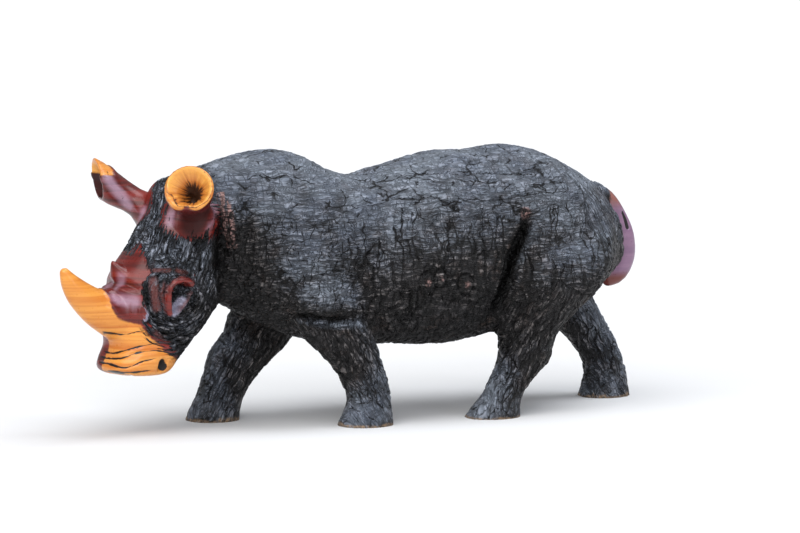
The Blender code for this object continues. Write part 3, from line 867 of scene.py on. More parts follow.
def hide(points):
    """The hide's relief, and each point's place among its fine strokes and among its thin cracks."""
    x, y, z = points.T
    down, out, left = head_places(points).T
    warp = np.stack([noise(points, 9, 21 + k) * 2.2 + noise(points, 3.4, 31 + k) * 1.1 for k in range(3)], 1)
    neck_line = np.interp(z, [100, 150, 178], [-108, -111, -137])
    on_head_part = rising(x, neck_line + 4, neck_line - 4)
    warp = warp * (1 - 0.6 * on_head_part)[:, None]
    on_back = rising(z + 7 * noise(points, 22, 41), 144, 156)
    on_rump = rising(x + 0.3 * (z - 120) + 8 * noise(points, 20, 42), 164, 180)
    on_rump = on_rump * rising(z + 10 * noise(points, 12, 46), 80, 96)
    in_front = rising(x - 0.12 * (z - 80) + 4 * noise(points, 14, 43), -14, -30)
    low = rising(z + 4 * noise(points, 14, 44), 104, 88)

    from_eye = np.stack([down, out], axis=1) - EYE_MIDDLE
    ring = np.linalg.norm(from_eye, axis=1)
    turn = np.arctan2(from_eye[:, 1], from_eye[:, 0])
    ringed = np.stack([ring, left * 0.5, turn * 26], axis=1)
    on_cheek = rising(ring, 50, 40) * rising(np.abs(left), 16, 23) * rising(down + 0.4 * out, 40, 54)
    around = np.arctan2(left, out + 38) * 38
    face = np.stack([around - 0.1 * down, np.hypot(left, out + 38), down], axis=1)
    body, level = points, points[:, ::-1]

    # Each kind of hide: its share, its places, those of its fine strokes, its seed, its plates, its long
    # lines, and how far apart its thin cracks are
    back_slope, front_slope = turned(body, -24), turned(body, 8)
    kinds = [
        (1.0, body, level, 101, ((7, 12, 15), 0.8, 0.7, 0.2, 0.3), ((9, 15, 36), 0.9, 1.4), (8, 18, 26)),
        (low, body, level, 107, ((5.2, 10, 13), 0.9, 1.0, 0.6, 0.5), ((9, 15, 32), 0.9, 1.4), (5.5, 12, 15)),
        (in_front, front_slope, level, 113, ((4.4, 8, 7), 0.85, 0.9, 0.5, 0.5), ((10, 14, 26), 0.8, 1.0),
         (5.5, 9, 9)),
        (on_back, body, level, 119, ((13, 10, 10), 0.7, 0.5, -0.05, 0.15), ((34, 14, 11), 0.8, 0.8),
         (17, 14, 13)),
        (on_rump, back_slope, back_slope, 125, ((5.5, 10, 18), 0.75, 0.8, 0.2, 0.3), ((8, 15, 38), 0.8, 1.2),
         (6.5, 14, 26)),
    ]
    for sections, side, top, lean, seed, relief, apart in LEG_HIDES:
        places = turned(body, lean)
        share = leg_share(points, sections, side, top + 9 * noise(points, 11, 45))
        kinds.append((share, places, places, seed, relief, None, apart))
    kinds += [
        (on_head_part, face, face, 155, ((2.7, 3.4, 12), 0.85, 1.1, 0.6, 0.7), None, (3, 3.5, 13)),
        (on_head_part * on_cheek, ringed, ringed, 161, ((2.7, 8, 12), 0.95, 1.4, 0.6, 0.9), None,
         (3, 7, 13)),
    ]
    depth = np.zeros(len(points))
    strokes, cells = np.zeros_like(points), np.zeros_like(points)
    for share, places, stroke_places, seed, relief, lines, apart in kinds:
        share = share * np.ones(len(points))
        used = np.flatnonzero(share > 0.001)
        made = hide_field(places[used] + warp[used], seed, relief, lines)
        depth[used] = depth[used] * (1 - share[used]) + made * share[used]
        along = share > 0.5
        strokes[along] = stroke_places[along]
        cells[along] = (places[along] + warp[along]) / apart

    hairs = noise(strokes + warp, (2.1, 8, 9), 61)
    depth += 0.4 * np.clip(hairs, -0.3, 1)
    depth += 0.35 * noise(points, 2.6, 62) + 0.6 * noise(points, 16, 63)
    return depth, strokes + warp * 0.5, cells


# The long cracks of the back and flank, the wrinkles that fan out above the flank fold, and the knots
LONG_CRACKS = [
    [(24, -23.8, 174), (39.2, -29.5, 175.1), (53.3, -32.3, 176.6), (70, -37.4, 174.6), (85, -36.2, 175.2),
     (109, -39.8, 174), (128, -40.8, 172.8)],
    [(14.4, -39.3, 159.4), (37, -45.2, 160.2), (44.3, -46.1, 161.2), (54.7, -51.4, 156),
     (72.9, -50.7, 158.7), (84.3, -51, 157.2), (116.8, -50.5, 160), (159.6, -43.1, 158.3)],
    [(37.2, -34, 171.5), (34.8, -39.2, 166.2)],
    [(62.4, -40.2, 171.6), (60.5, -44.3, 166.8)],
    [(112.8, -45.3, 167.9), (114.1, -48, 164)],
    [(55.9, -51.5, 156), (58.6, -55.3, 149.3)],
    [(20.6, -45.3, 154.5), (18.6, -50, 145), (15.6, -53.4, 136.9)],
    [(26.8, -48.4, 152.2), (26.3, -52.6, 143), (23.4, -55.8, 134.5)],
    [(77.8, -52.5, 155.2), (76.6, -58, 138), (75, -62.7, 119)],
    [(89.8, -55.6, 146.9), (87.6, -59, 136), (86, -61.1, 125.4)],
]
CREASE_TOPS = [(-1, (113, -57, 144)), (1, (124, 57, 144))]
KNOTS = [(34, -61, 102, 6.5), (43, -62, 105.3, 5.0), (62.3, -62.5, 99.8, 6.0)]

# Sharper grooves along the middles of some folds: radius, depth, darkness of the painted shade in them, and
# path
GROOVES = [
    (3.4, 3.2, 1.0, [(114.5, -57, 147), *NEAR_FLANK]),
    (3.4, 3.2, 1.0, [(124.5, 57, 147), *FAR_FLANK]),
    (2.2, 1.8, 0.75, ELBOW),
    (2.2, 1.8, 0.75, mirrored(ELBOW, FAR_LEG_LEAD)),
]
TAIL_SLIT = [(213.6, -7, 139), (215.2, -7.4, 134.4), (216.4, -7.7, 129)]

# Places where painted light turns the hide slate blue, along with dust and wear, or painted shade leaves it
# black: middle, reach and amount
LIT_SHADED_AND_DUSTY_PLACES = [
    ((-52, -52, 126), (44, 60, 42), 0.32),
    ((-38, -57, 90), (36, 40, 11), 0.34),
    ((0, -34, 18), (36, 40, 40), 0.62),
    ((-84, -34, 16), (36, 40, 30), 0.2),
    ((104, -34, 14), (34, 40, 24), 0.3),
    ((206, -34, 50), (44, 40, 50), 0.4),
    ((150, -50, 122), (44, 60, 46), 0.16),
    ((50, -50, 66), (60, 60, 26), -0.4),
    ((60, -60, 104), (56, 60, 24), -0.2),
    ((-98, -36, 116), (15, 60, 34), -0.6),
    ((-58, -44, 62), (34, 60, 16), -0.3),
]


def painted_light_and_dust(points):
    near_side = np.where((False, True, False), -np.abs(points), points)
    # Painted light and shade with dust: lighter towards the head, and lighter or darker in each listed place
    total = 0.42 * rising(points[:, 0], -104, -124)
    for middle, reach, amount in LIT_SHADED_AND_DUSTY_PLACES:
        total += amount * np.exp(-(((near_side - middle) / reach) ** 2).sum(axis=1))
    return total


def side_of(points, normals, paths):
    """How far to one side of the nearest path each point is, and its share: 1 by a path, 0 away from it."""
    nearest = np.full(len(points), FAR_AWAY)
    aside = np.full(len(points), FAR_AWAY)
    share = np.zeros(len(points))
    for path in paths:
        path = smooth_rows(path, 4 * len(path))
        close = beside_path(points, path, 5)
        near = points[close]
        distance, place, length = nearest_on(near, path)
        steps = np.linalg.norm(np.diff(path, axis=0), axis=1)
        segment = np.clip(np.searchsorted(np.cumsum(steps), place), 0, len(steps) - 1)
        along = (path[1:] - path[:-1])[segment]
        sign = np.sign((np.cross(near - path[segment], along) * normals[close]).sum(axis=1))
        tapered = rising(distance, 3.8, 2.6) * rising(np.minimum(place, length - place), 0, 2.5)
        closer = distance < nearest[close]
        nearest[close[closer]] = distance[closer]
        aside[close[closer]] = (sign * distance)[closer]
        share[close[closer]] = tapered[closer]
    return np.clip(aside, -5, 5), share


def hide_marks(points):
    """Wrinkles and raised rings in the hide: depth, how far in a crack, and wear."""
    depth = np.zeros(len(points))
    in_crack = np.zeros(len(points))
    wear = np.zeros(len(points))
    along, aside, height = points.T
    wander = noise(points, 5, 71) * 1.3
    for side, (x, y, z) in CREASE_TOPS:
        across, up = along - x, height - z
        ring = np.hypot(across, up)
        share = rising(ring, 3, 5.5) * rising(ring, 19, 12) * rising(side * aside, 30, 40)
        share = share * rising(up, -10, -2)
        rays = np.cos(np.arctan2(up, across) * 19 + noise(points, 4, 75) * 2.2)
        depth += 0.6 * share * rays * rising(noise(points, 5, 76), -0.5, 0.2)
        in_crack = np.maximum(in_crack, share * rising(rays, 0.5, 1.0) * 0.5)
        patch = rising(np.hypot(across + 2, up - 3), 6.5, 2.5) * rising(side * aside, 30, 40)
        wear = np.maximum(wear, patch * 0.5)
    for x, y, z, size in KNOTS:
        ring = np.hypot(along - x, (height - z) * 0.75) + wander * 0.5
        share = rising(-aside, 30, 45)
        depth += share * (1.4 * np.exp(-(((ring - size) / 1.1) ** 2)) - 1.6 * rising(ring, size, size * 0.4))
        in_crack = np.maximum(in_crack, share * 0.8 * np.exp(-(((ring - size) / 0.9) ** 2)))
        wear = np.maximum(wear, share * rising(ring, size * 0.7, size * 0.2) * 0.4)
    return depth, in_crack, wear


# Red wood that shows through the hide, and places rubbed smooth, which also get a painted lilac sheen:
# radius, strength and path on the head
RED_MARKS = [
    (3.4, 1.0, LID),
    (1.9, 0.7, EYE_FLOOR_EDGE),
    (2.2, 0.9, STRIP_OVER_LID),
    (5.5, 0.9, [(68, -1.5, 25), (73, -3.5, 26.2), (79, -6.9, 27.1), (84, -10, 27.4)]),
    (3.0, 0.8, [(61, -0.5, 23.2), (57.4, -8, 29)]),
    (3.0, 0.8, [(55.4, -13, 31), (55, -19, 33)]),
    (3.4, 0.5, [(46, 3, 21), (56, 2, 21.5), (64, 1, 22)]),
    (5.0, 0.7, [(98, -14, 24.4), (103, -22, 26), (106, -33, 26)]),
]
SMOOTH_AND_SHEEN_MARKS = [
    (5.0, 1.0, [(73, -26, 32), (78, -25, 31.5), (83, -23.5, 31)]),
    (2.6, 1.0, KNOB),
]
# Painted lilac highlights on the red wood: radius, strength and path on the head
PAINTED_HIGHLIGHT_MARKS = [
    (8.5, 0.95, [(88, 12.7, 9), (87, 7, 12.8), (86, 3.1, 18.7)]),
    (6, 0.85, [(72, 11.9, 7), (80, 10.8, 5)]),
    (8, 0.9, [(19.8, -2.1, 16.3), (26, -2.7, 17.6)]),
    (8, 0.8, [(3.2, -22.8, 29.7), (8.3, -23.8, 33.6), (22, -18.5, 37.3)]),
]
# The same painted highlight along the far ear's back, and the row of strokes behind the near ear that are
# worn pale
PAINTED_HIGHLIGHT_EAR = [(-171.5, 19.3, 175.5), (-167.2, 18.3, 169.2), (-162.1, 18.2, 162.8), (-157.9, 17.7, 156.4)]
WORN_STROKES = [(-109, -28.8, 168.6), (-108, -32.5, 163), (-105.8, -36.2, 155.4), (-106, -38.3, 146.8),
                (-104.2, -39.9, 139), (-103.3, -40.3, 129)]


def head_marks(points, marks):
    """How strong the marks of the head are at each point, on both its sides."""
    return np.maximum.reduce([np.sqrt(near_head_path(points, places, radius)) * strength
                              for radius, strength, places in marks])


def set_attributes(mesh, kind, key, attributes):
    """Notes values on the mesh's points, under their names."""
    for name, values in attributes.items():
        layer = mesh.attributes.new(name, kind, "POINT")
        layer.data.foreach_set(key, values.astype(np.float32).ravel())


def carve(mesh):
    """Cuts the folds, then the hide's relief, and notes on each point what its material needs."""
    uncut, normals = read_points(mesh)
    write_points(mesh, uncut - normals * form_depth(uncut)[:, None])
    points, normals = read_points(mesh)
    x, y, z = points.T
    _, out, left = head_places(points).T
    polish, pale, hole, mouth, fray = woods(points, normals)
    depth, strokes, cells = hide(points)
    extra, marked, wear = hide_marks(uncut)
    red = head_marks(uncut, RED_MARKS)
    # Places rubbed smooth, which also get a painted lilac sheen
    smooth = head_marks(uncut, SMOOTH_AND_SHEEN_MARKS)

    rough = rising(polish - 1.2, 0, -3 - 5 * fray)
    rough = rough * (1 - 0.9 * np.maximum(red, smooth)) * (1 - 0.5 * rising(z, 26, 10))
    rough = rough * (1 - 0.2 * rising(y, 0, 30))
    # The deepest folds are smooth at the bottom and get black painted shadow there, less so at the neck than
    # at the flanks
    fold = np.maximum.reduce([near_path(uncut, path, radius) * (0.5 if path[0][0] < 0 else 1)
                              for radius, deep, path in body_folds() if deep >= 8])
    rough = rough * (1 - 0.85 * np.sqrt(fold))
    relief = rough * (depth + extra)
    for radius, deep, darkness, path in GROOVES:
        near = near_path(uncut, path, radius, 0.16)
        relief += deep * near
        fold = np.maximum(fold, near * darkness)
    beside, cracked = side_of(uncut, normals, LONG_CRACKS)
    relief += rough * cracked * 1.2 * np.exp(-((beside / 1.2) ** 2))

    phase, gap, lined = muzzle_lines(points)
    from_line = np.abs(phase - np.round(phase)) * gap
    relief += 0.8 * lined * np.exp(-((from_line / 1.1) ** 2))
    pit = rising(side_distance(uncut, [(117.4, -31.5, 26), (119, -33.5, 26)], 20), 4.6, 2.4)
    lip = rising(pale, -6, -1.5) * rising(pale, 0.5, -0.4) * rising(out, 4, 12)
    relief -= 0.9 * lip * (x < MUZZLE_BACK)
    into_hole = rising(np.linalg.norm(mouth - HOLE_MIDDLE, axis=1), 9, 6) * np.clip(hole - 1, 0, 1)
    relief += 0.8 * into_hole * noise(points, 1.8, 91)
    strands = near_path(uncut, WORN_STROKES, 5, 0.06)
    strands *= rising(noise(points, (2.2, 2.2, 12), 97), -0.7, -0.2)
    relief -= 1.4 * strands
    slit = near_path(uncut, TAIL_SLIT, 3.3, 0.4)
    relief += 2.4 * slit
    write_points(mesh, points - normals * relief[:, None])

    # Painted light: lighter slate where the hide faces up, plus the painted light, shade and dust of the
    # listed places
    light_and_dust = normals[:, 2] + 0.22 * noise(points, 13, 95) + 0.1 * noise(points, 5, 96) + painted_light_and_dust(points)
    # Painted shadow under the near ear, and painted shade in the far ear's hollow
    shade = near_path(uncut, [on_head(16, -4, 42), on_head(27, -8, 37)], 19)
    shade = np.maximum(shade, np.where(left < 0, np.clip(hole, 0, 1), 0))
    # Painted lilac highlights on the red wood
    painted_highlight = np.maximum(head_marks(uncut, PAINTED_HIGHLIGHT_MARKS) ** 2, near_path(uncut, PAINTED_HIGHLIGHT_EAR, 7))
    sole = rising(z + 1.6 * noise(points, 8, 98), SOLE_LEVEL + 3.4, SOLE_LEVEL)
    set_attributes(mesh, "FLOAT", "value", {
        "polish": np.clip(polish, -12, 12),
        "fray": fray,
        "pale": np.clip(pale, -12, 12),
        "painted_highlight": painted_highlight * rising(shade, 0.6, 0.2),
        "crack": np.clip(marked * rough, 0, 1),
        "beside": beside,
        "cracked": cracked * rising(rough, 0.2, 0.6),
        "fold": fold,
        "light_and_dust": light_and_dust,
        "wear": np.maximum(wear, strands * 1.5),
        "phase": phase,
        "gap": gap,
        "lined": lined,
        "pit": np.maximum(pit, slit * 1.3),
        "hole": hole,
        "red": red,
        "rubbed_and_sheen": smooth,
        "shade": shade,
        "face": rising(x, HEAD_BACK, HEAD_BACK - 18),
        "height": np.where(x > TAIL_FRONT, z, 0),
        "sole": sole,
    })
    set_attributes(mesh, "FLOAT_VECTOR", "vector", {"strokes": strokes, "cells": cells, "mouth": mouth})


def squeeze(points):
    """How much thinner each point's far side is made while triangles are chosen, so that it keeps fewer."""
    x, y, _ = points.T
    thinner = np.where(y > 0, 1 - PLAINER_SHARE * rising(x, -115, -95), 1)
    return np.where((False, True, False), thinner[:, None], 1)


def thinned(mesh):
    """The mesh with fewer triangles, kept where the relief needs them, and more of them on the left side."""
    points, _ = read_points(mesh)
    write_points(mesh, points * squeeze(points))
    holder = placed("thinned", mesh)
    mesh.calc_loop_triangles()
    decimate = holder.modifiers.new("thin", "DECIMATE")
    decimate.ratio = TRIANGLES / len(mesh.loop_triangles)
    made = evaluated_mesh(holder)
    bpy.data.objects.remove(holder)
    points, _ = read_points(made)
    write_points(made, points / squeeze(points))
    return made


def stand_flat(mesh):
    """Cuts the feet off flat and sets the figure where the solid stands."""
    work = bmesh.new()
    work.from_mesh(mesh)
    bmesh.ops.bisect_plane(
        work,
        geom=work.verts[:] + work.edges[:] + work.faces[:],
        dist=1e-7,
        plane_co=(0, 0, SOLE_LEVEL * UNIT),
        plane_no=(0, 0, 1),
        clear_inner=True,
    )
    open_edges = [e for e in work.edges if e.is_boundary]
    bmesh.ops.holes_fill(work, edges=open_edges, sides=0)
    bmesh.ops.triangulate(work, faces=work.faces[:])
    bmesh.ops.recalc_face_normals(work, faces=work.faces[:])
    moved = Vector(MOVED * UNIT)
    for v in work.verts:
        v.co -= moved
    work.to_mesh(mesh)
    work.free()


# Materials

# The height of the finest relief, in metres, and how strongly the two kinds of surface gleam
BUMP_DEPTH = 0.0009
HIDE_GLEAM = 0.26
POLISHED_GLEAM = 0.5


def colour(red, green, blue):
    """A colour given as 0 to 255 on a screen, in the linear numbers that a shader takes."""
    def linear(value):
        value = value / 255
        return value / 12.92 if value <= 0.04045 else ((value + 0.055) / 1.055) ** 2.4
    return (linear(red), linear(green), linear(blue), 1.0)


class Value:
    """What a node gives: a number, a place or a colour. The signs of sums add math nodes."""

    def __init__(self, nodes, socket):
        self.nodes = nodes
        self.socket = socket

    def __add__(self, other):
        return self.nodes.math("ADD", self, other)

    def __sub__(self, other):
        return self.nodes.math("SUBTRACT", self, other)

    def __mul__(self, other):
        return self.nodes.math("MULTIPLY", self, other)

    def at_least(self, other):
        return self.nodes.math("MAXIMUM", self, other)

    def at_most(self, other):
        return self.nodes.math("MINIMUM", self, other)

    def between(self, low, high, to_low=0.0, to_high=1.0):
        """A number that goes smoothly from to_low to to_high while this one goes from low to high."""
        inputs = {"Value": self, "From Min": low, "From Max": high, "To Min": to_low, "To Max": to_high}
        return self.nodes.add("MapRange", "Result", inputs, interpolation_type="SMOOTHSTEP")

    def blended(self, share, other):
        """This number, or the other one by the given share."""
        return self.nodes.add("Mix", 0, {0: share, 2: self, 3: other}, data_type="FLOAT")

    def coated(self, share, paint):
        """This colour with another over it by the given share."""
        return self.nodes.mix(share, self, paint)


class Nodes:
    """Short ways to add nodes to a material."""

    def __init__(self, name):
        self.material = bpy.data.materials.new(name)
        self.material.use_nodes = True
        self.tree = self.material.node_tree
        self.shader = self.tree.nodes["Principled BSDF"]
        self.object_place = self.add("TexCoord", "Object", {})

    def feed(self, node, inputs):
        """Gives a node its inputs. A plain one is set on the socket itself."""
        for key, value in inputs.items():
            if isinstance(value, Value):
                self.tree.links.new(value.socket, node.inputs[key])
            else:
                node.inputs[key].default_value = value

    def add(self, kind, output, inputs, **settings):
        """The named output of a new node."""
        node = self.tree.nodes.new("ShaderNode" + kind)
        for name, setting in settings.items():
            setattr(node, name, setting)
        self.feed(node, inputs)
        return Value(self, node.outputs[output])

    def number(self, name):
        return self.add("Attribute", "Fac", {}, attribute_name=name)

    def place(self, name):
        return self.add("Attribute", "Vector", {}, attribute_name=name)

    def math(self, operation, a, b=0.0):
        return self.add("Math", "Value", {0: a, 1: b}, operation=operation)

    def vector(self, operation, *inputs, output="Vector"):
        return self.add("VectorMath", output, dict(enumerate(inputs)), operation=operation)

    def mix(self, share, a, b):
        """A mix of two colours. Each may be a value, or a colour as on a screen."""
        a, b = (paint if isinstance(paint, Value) else colour(*paint) for paint in (a, b))
        return self.add("Mix", 2, {0: share, 6: a, 7: b}, data_type="RGBA")

    def noise(self, fineness, detail=3.0, roughness=0.55, warp=0.0, place=None):
        """Noise whose fineness is one number, or one for each axis."""
        scale = fineness if isinstance(fineness, tuple) else (fineness,) * 3
        scaled = self.add("Mapping", "Vector", {"Scale": scale, "Vector": place or self.object_place})
        inputs = {"Vector": scaled, "Scale": 1.0, "Detail": detail, "Roughness": roughness}
        return self.add("TexNoise", "Fac", {**inputs, "Distortion": warp})

    def ridges(self, *noise_settings):
        """0 on thin lines through a noise, rising to 1 away from them."""
        return self.math("ABSOLUTE", self.noise(*noise_settings) - 0.5) * 2.0

    def voronoi(self, place, feature, output):
        inputs = {"Scale": 1.0, "Randomness": 0.9, "Vector": place}
        return self.add("TexVoronoi", output, inputs, feature=feature)

    def shaken(self, place, amount, scale):
        """A place moved about by noise."""
        shake = self.add("TexNoise", "Color", {"Scale": scale, "Detail": 2.0, "Vector": place})
        return self.vector("MULTIPLY_ADD", shake, (amount,) * 3, place)


def carved_wood(name, gleam):
    """The carving's wood. Its hide and its polished parts share one recipe, and differ in their gleam."""
    n = Nodes(name)
    polish, pale, red, rubbed_and_sheen, fray, wear, light_and_dust = map(
        n.number, ("polish", "pale", "red", "rubbed_and_sheen", "fray", "wear", "light_and_dust"))
    crack, fold, shade, beside, cracked, hole, pit = map(
        n.number, ("crack", "fold", "shade", "beside", "cracked", "hole", "pit"))
    sole, height, face, phase, gap, lined, painted_highlight = map(
        n.number, ("sole", "height", "face", "phase", "gap", "lined", "painted_highlight"))
    strokes = n.place("strokes")

    blotch = n.noise(38, 4, 0.6)
    fine = n.noise(520, 3, 0.6)
    grain = n.noise((30, 30, 560), 3, 0.6, 0.4)
    streak = n.noise((9, 14, 210), 4, 0.62, 0.8)
    fibre = n.noise((0.6, 0.15, 0.1), 3, 0.6, 0.25, strokes)
    along = n.ridges((0.36, 0.1, 0.06), 2, 0.5, 0.35, strokes)
    across = n.ridges((0.09, 0.12, 0.24), 2, 0.55, 0.6, strokes)
    lines = along.at_most(across * 1.4 + 0.02)
    cells = n.shaken(n.place("cells"), 0.35, 2.4)
    tone = n.voronoi(cells, "F1", "Color")
    lit_and_dusty = light_and_dust.between(-0.25, 0.9)
    patchy = n.noise(0.9, 2, place=cells) - lit_and_dusty * 0.1
    broken = patchy.between(0.38, 0.48)
    edge = n.voronoi(cells, "DISTANCE_TO_EDGE", "Distance") * (lit_and_dusty * 1.3 + 0.8)
    wavy = (n.noise(0.35, 4, 0.7, place=strokes) - 0.5) * 7.0
    from_crack = n.math("ABSOLUTE", beside + wavy)
    long_crack = from_crack.between(0.75, 0.25) * cracked.between(0.1, 0.6)
    thin = (edge.between(0.095, 0.04) * broken).at_least(long_crack)

    # Blackened hide: charcoal, slate where dust lies and painted light falls on it, brown in places, painted
    # glints on its fibres, and black painted shade in its grooves and cracks
    slate = n.mix(blotch.between(0.36, 0.64), (108, 116, 130), (131, 139, 150))
    hide = n.mix(tone.between(0.1, 0.9), (26, 25, 26), (50, 48, 49)).coated(lit_and_dusty, slate)
    glint_colour = n.mix(lit_and_dusty, (128, 122, 120), (160, 166, 180))
    hide = hide.coated(face * 0.35, (40, 38, 40))
    # Painted glints of light on the raised fibres, fewest where the hide faces down into shade
    painted_glints = lit_and_dusty.between(0.2, 0.9, 0.66, 0.4) * light_and_dust.between(-0.9, -0.1, 0.2, 1.0)
    hide = hide.coated(fibre.between(0.5, 0.62) * painted_glints.at_least(face * 0.9), glint_colour)
    brown = n.noise(70, 4, 0.65).between(0.5, 0.7) * lit_and_dusty.between(0.0, 0.8, 0.5, 0.3)
    hide = hide.coated(brown, (72, 58, 50))
    dashes = n.noise((430, 300, 70), 2).between(0.38, 0.5, 0.1, 1.0)
    hide = hide.coated(wear.between(0.1, 0.6) * dashes, (180, 142, 136))
    # Painted lilac sheen where the hide is rubbed smooth
    hide = hide.coated(rubbed_and_sheen.between(0.25, 0.95, 0.0, 0.85), (158, 154, 174))
    unworn = red.at_least(rubbed_and_sheen).between(0.85, 0.35, 0.1, 1.0)
    # Painted shade in the grooves between the fibres, darker where the hide faces down
    fibre_depth = light_and_dust.between(1.0, 0.1, 0.4, 0.9).at_least(face * 0.92)
    grooves = fibre.between(0.47, 0.37) * fibre_depth
    grooves = grooves.at_least(lines.between(0.13, 0.03) * fibre_depth)
    hide = hide.coated(grooves * unworn, (13, 11, 11))
    # Black painted shade in the cracks and at the bottom of the deep folds
    cut = crack.between(0.3, 0.8).at_least(fold.between(0.12, 0.6))
    hide = hide.coated(cut.at_least(thin * unworn * 0.93), (5, 4, 4))

    # Red heartwood, with painted shadow under the near ear and painted shade in the far ear's hollow, and
    # painted lilac highlights. The tail is paler and more purple, partly a painted lilac reflection, and
    # browner towards its ends
    heart = n.mix(streak.between(0.38, 0.66), (78, 17, 14), (124, 34, 26))
    heart = heart.coated(grain.between(0.6, 0.75, 0.0, 0.3), (48, 12, 10))
    # Painted shadow under the near ear and painted shade in the far ear's hollow
    shaded = shade.between(0.1, 0.8)
    heart = heart.coated(shaded * 0.85, (40, 10, 8))
    # Painted lilac highlights on the red wood
    painted_highlight = painted_highlight + (streak - 0.5) * 0.5
    heart = heart.coated(painted_highlight.between(0.1, 1.1, 0.0, 0.7), (190, 160, 180))
    # The tail's purple, partly the wood's own and partly a painted lilac reflection
    tail_wood_and_sheen = n.mix(streak.between(0.3, 0.7), (124, 94, 120), (140, 108, 132))
    tail_wood_and_sheen = tail_wood_and_sheen.coated(height.between(140, 150, 0.0, 0.8), (142, 88, 68))
    tail_wood_and_sheen = tail_wood_and_sheen.coated(height.between(99, 92), (104, 44, 36))
    heart = heart.coated(height.between(60, 80), tail_wood_and_sheen)

    # Pale sapwood with darker growth lines, frayed brown round an ear's hole, with black painted shade deep
    # in that hole, in the muzzle's cracks, in the pit on the muzzle and in the tail's slit
    sap = n.mix(streak.between(0.35, 0.7), (229, 155, 68), (200, 112, 36))
    sap = sap.coated(grain.between(0.62, 0.76, 0.0, 0.45), (170, 86, 22))
    from_hole = n.vector("SUBTRACT", n.place("mouth"), HOLE_MIDDLE)
    spokes = n.noise(5.0, place=n.vector("NORMALIZE", from_hole))
    reach = n.vector("LENGTH", from_hole, output="Value") + (spokes - 0.5) * 17.0
    in_hole = hole.at_most(1.0)
    sap = sap.coated(in_hole * 0.5, (250, 188, 92))
    sap = sap.coated(reach.between(15.5, 7.0, 0.0, 0.75) * in_hole, (168, 84, 26))
    ragged = pale + (streak - 0.5) * 3.0
    polished = heart.coated(ragged.between(-0.6, 0.8), sap)
    # Black painted shade deep in the near ear's hole
    polished = polished.coated(reach.between(8.5, 5.5, 0.0, 0.95) * in_hole, (34, 20, 14))
    width = n.noise(120, 2).between(0.36, 0.62, 0.4, 1.05) * lined
    from_line = n.math("PINGPONG", phase, 0.5) * gap
    # Black painted shade in the muzzle's cracks, the pit and the tail's slit
    shaded_lines = (from_line - width).between(0.1, -0.35) * lined.between(0.1, 0.3)
    shaded_lines = shaded_lines.at_least(pit.between(0.35, 0.6))
    polished = polished.coated(shaded_lines, (16, 9, 7))

    shine = (polish + (fibre - 0.5) * (fray * 38.0)).between(-1.0, 1.0)
    shows_red = red.between(0.25, 0.8) * fibre.between(0.36, 0.5, 0.35, 0.95)
    shown = hide.coated(shows_red, (92, 46, 42)).coated(shine, polished)
    worn_sole = sole.between(0.2, 0.7) * fine.between(0.35, 0.6, 0.2, 0.9)
    shown = shown.coated(worn_sole, (160, 134, 106))

    hide_rough = fine.between(0.3, 0.7, 0.38, 0.54).blended(rubbed_and_sheen.between(0.3, 0.8), 0.26)
    hide_rough = hide_rough.blended(red.between(0.3, 0.8), 0.28) - face * 0.12
    rough = hide_rough.blended(shine, fine.between(0.3, 0.7, 0.27, 0.33))
    rough = rough.blended(shaded * shine, 0.5)
    rough = rough.blended(in_hole * reach.between(10.0, 6.0), 0.6)
    rough = rough.blended(pit.between(0.25, 0.6), 0.7)

    hide_surface = fibre.between(0.34, 0.64) + (lines.between(0.0, 0.2) + fine * 0.35)
    hide_surface = hide_surface - edge.between(0.16, 0.0) * broken
    hide_surface = hide_surface * (unworn * (face + 1.0))
    surface = hide_surface.blended(shine, grain * 0.02)
    bump = n.add("Bump", "Normal", {"Strength": 1.0, "Distance": BUMP_DEPTH, "Height": surface})
    n.feed(n.shader, {"Base Color": shown, "Roughness": rough, "Normal": bump, "IOR": 1.5,
                      "Specular IOR Level": gleam})
    return n.material


def floor_material():
    n = Nodes("studio_floor")
    tint = n.mix(n.noise(3.0, 3).between(0.3, 0.7), (230, 230, 230), (234, 234, 234))
    n.feed(n.shader, {"Base Color": tint, "Roughness": 0.85, "Specular IOR Level": 0.15})
    return n.material


# The scene

def face_means(mesh, name):
    """The mean of a noted number over the corners of each face."""
    values = np.empty(len(mesh.vertices), np.float32)
    mesh.attributes[name].data.foreach_get("value", values)
    corners = np.empty(len(mesh.polygons) * 3, np.int32)
    mesh.polygons.foreach_get("vertices", corners)
    return values[corners.reshape(-1, 3)].mean(axis=1)


def figure():
    blended = fused("blended", [torso(), head(), muzzle(), *legs()], BLEND_VOXEL, BLEND_PASSES)
    fine = [front_horn(), rear_horn(), NEAR_EAR.mesh(), FAR_EAR.mesh(), tail()]
    form = fused("form", [blended, *fine], CARVING_VOXEL, CARVING_PASSES)
    carve(form)
    form = thinned(form)
    stand_flat(form)
    form.name = "carved_rhinoceros"
    form.materials.clear()
    form.materials.append(carved_wood("carved_hide", HIDE_GLEAM))
    form.materials.append(carved_wood("polished_wood", POLISHED_GLEAM))
    form.shade_smooth()
    glossy = (face_means(form, "polish") > 0) & (face_means(form, "shade") < 0.3)
    form.polygons.foreach_set("material_index", glossy.astype(np.int32))
    piece = placed("carved_rhinoceros", form)
    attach(piece, "root")
    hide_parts("rhinoceros")


def floor():
    mesh = bpy.data.meshes.new("studio_floor")
    half = 20.0
    corners = [(-half, -half, 0), (half, -half, 0), (half, half, 0), (-half, half, 0)]
    mesh.from_pydata(corners, [], [(0, 1, 2, 3)])
    mesh.materials.append(floor_material())
    ground = placed("studio_floor", mesh)


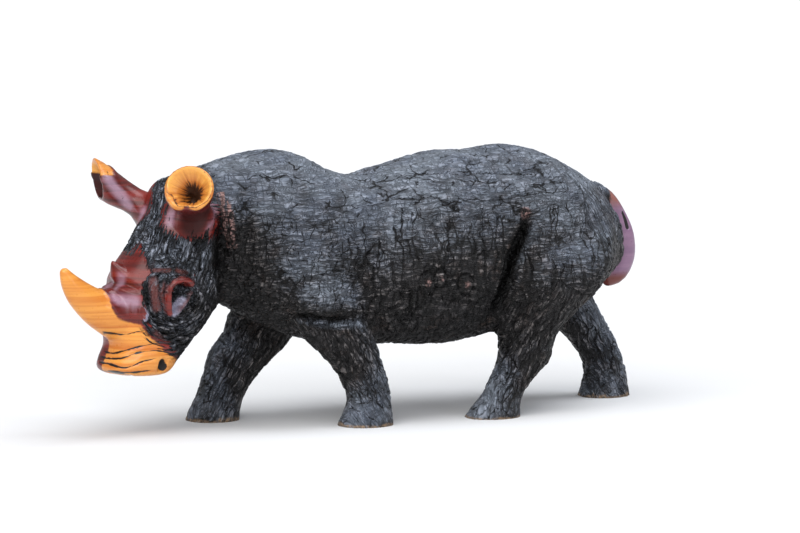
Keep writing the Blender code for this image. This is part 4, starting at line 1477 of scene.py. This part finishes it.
def daylight(name, direction, power, spread, tint):
    """Even soft light from one side of the sky."""
    light = bpy.data.lights.new(name, "SUN")
    light.energy = power
    light.angle = math.radians(spread)
    light.color = tint
    placed(name, light).rotation_euler = Vector(direction).to_track_quat("Z", "Y").to_euler()


def lighting():
    daylight("key", (-0.75, -0.60, 0.95), 2.1, 58, (1.0, 0.99, 0.98))
    daylight("sky", (0.35, -0.15, 1.0), 1.7, 42, (0.9, 0.94, 1.0))
    daylight("left_window", (-0.30, -0.88, 0.46), 0.6, 26, (0.86, 0.91, 1.0))
    daylight("right_window", (0.30, -0.80, 0.32), 0.35, 20, (0.86, 0.89, 1.0))
    world = bpy.data.worlds.new("studio")
    world.use_nodes = True
    background = world.node_tree.nodes["Background"]
    background.inputs["Color"].default_value = (0.97, 0.98, 1.0, 1.0)
    background.inputs["Strength"].default_value = 0.32
    bpy.context.scene.world = world
    bpy.context.scene.view_settings.view_transform = "Standard"


# The photo's viewing direction, and how far the middle of its frame lies from the target
CAMERA_TURN = math.radians(-24)
CAMERA_RISE = math.radians(6.4)
CAMERA_DISTANCE = 3.0
CAMERA_TARGET = Vector((0, 0, 0.085))
FOCAL_PIXELS = 4842
FRAME_WIDTH = 800
SENSOR_WIDTH = 36
FRAME_OFFSET = (42.72, 16.03)


def camera():
    back = Vector((
        math.sin(CAMERA_TURN) * math.cos(CAMERA_RISE),
        -math.cos(CAMERA_TURN) * math.cos(CAMERA_RISE),
        math.sin(CAMERA_RISE),
    ))
    right = Vector((math.cos(CAMERA_TURN), math.sin(CAMERA_TURN), 0))
    up = back.cross(right)
    aside, above = (pixels * CAMERA_DISTANCE / FOCAL_PIXELS for pixels in FRAME_OFFSET)
    aim = CAMERA_TARGET + right * aside + up * above
    lens = bpy.data.cameras.new("camera")
    lens.sensor_width = SENSOR_WIDTH
    lens.lens = SENSOR_WIDTH * FOCAL_PIXELS / FRAME_WIDTH
    lens.clip_end = 60
    view = placed("camera", lens)
    view.location = CAMERA_TARGET + back * CAMERA_DISTANCE
    view.rotation_euler = (aim - view.location).to_track_quat("-Z", "Y").to_euler()
    bpy.context.scene.camera = view


camera()
floor()
lighting()
figure()
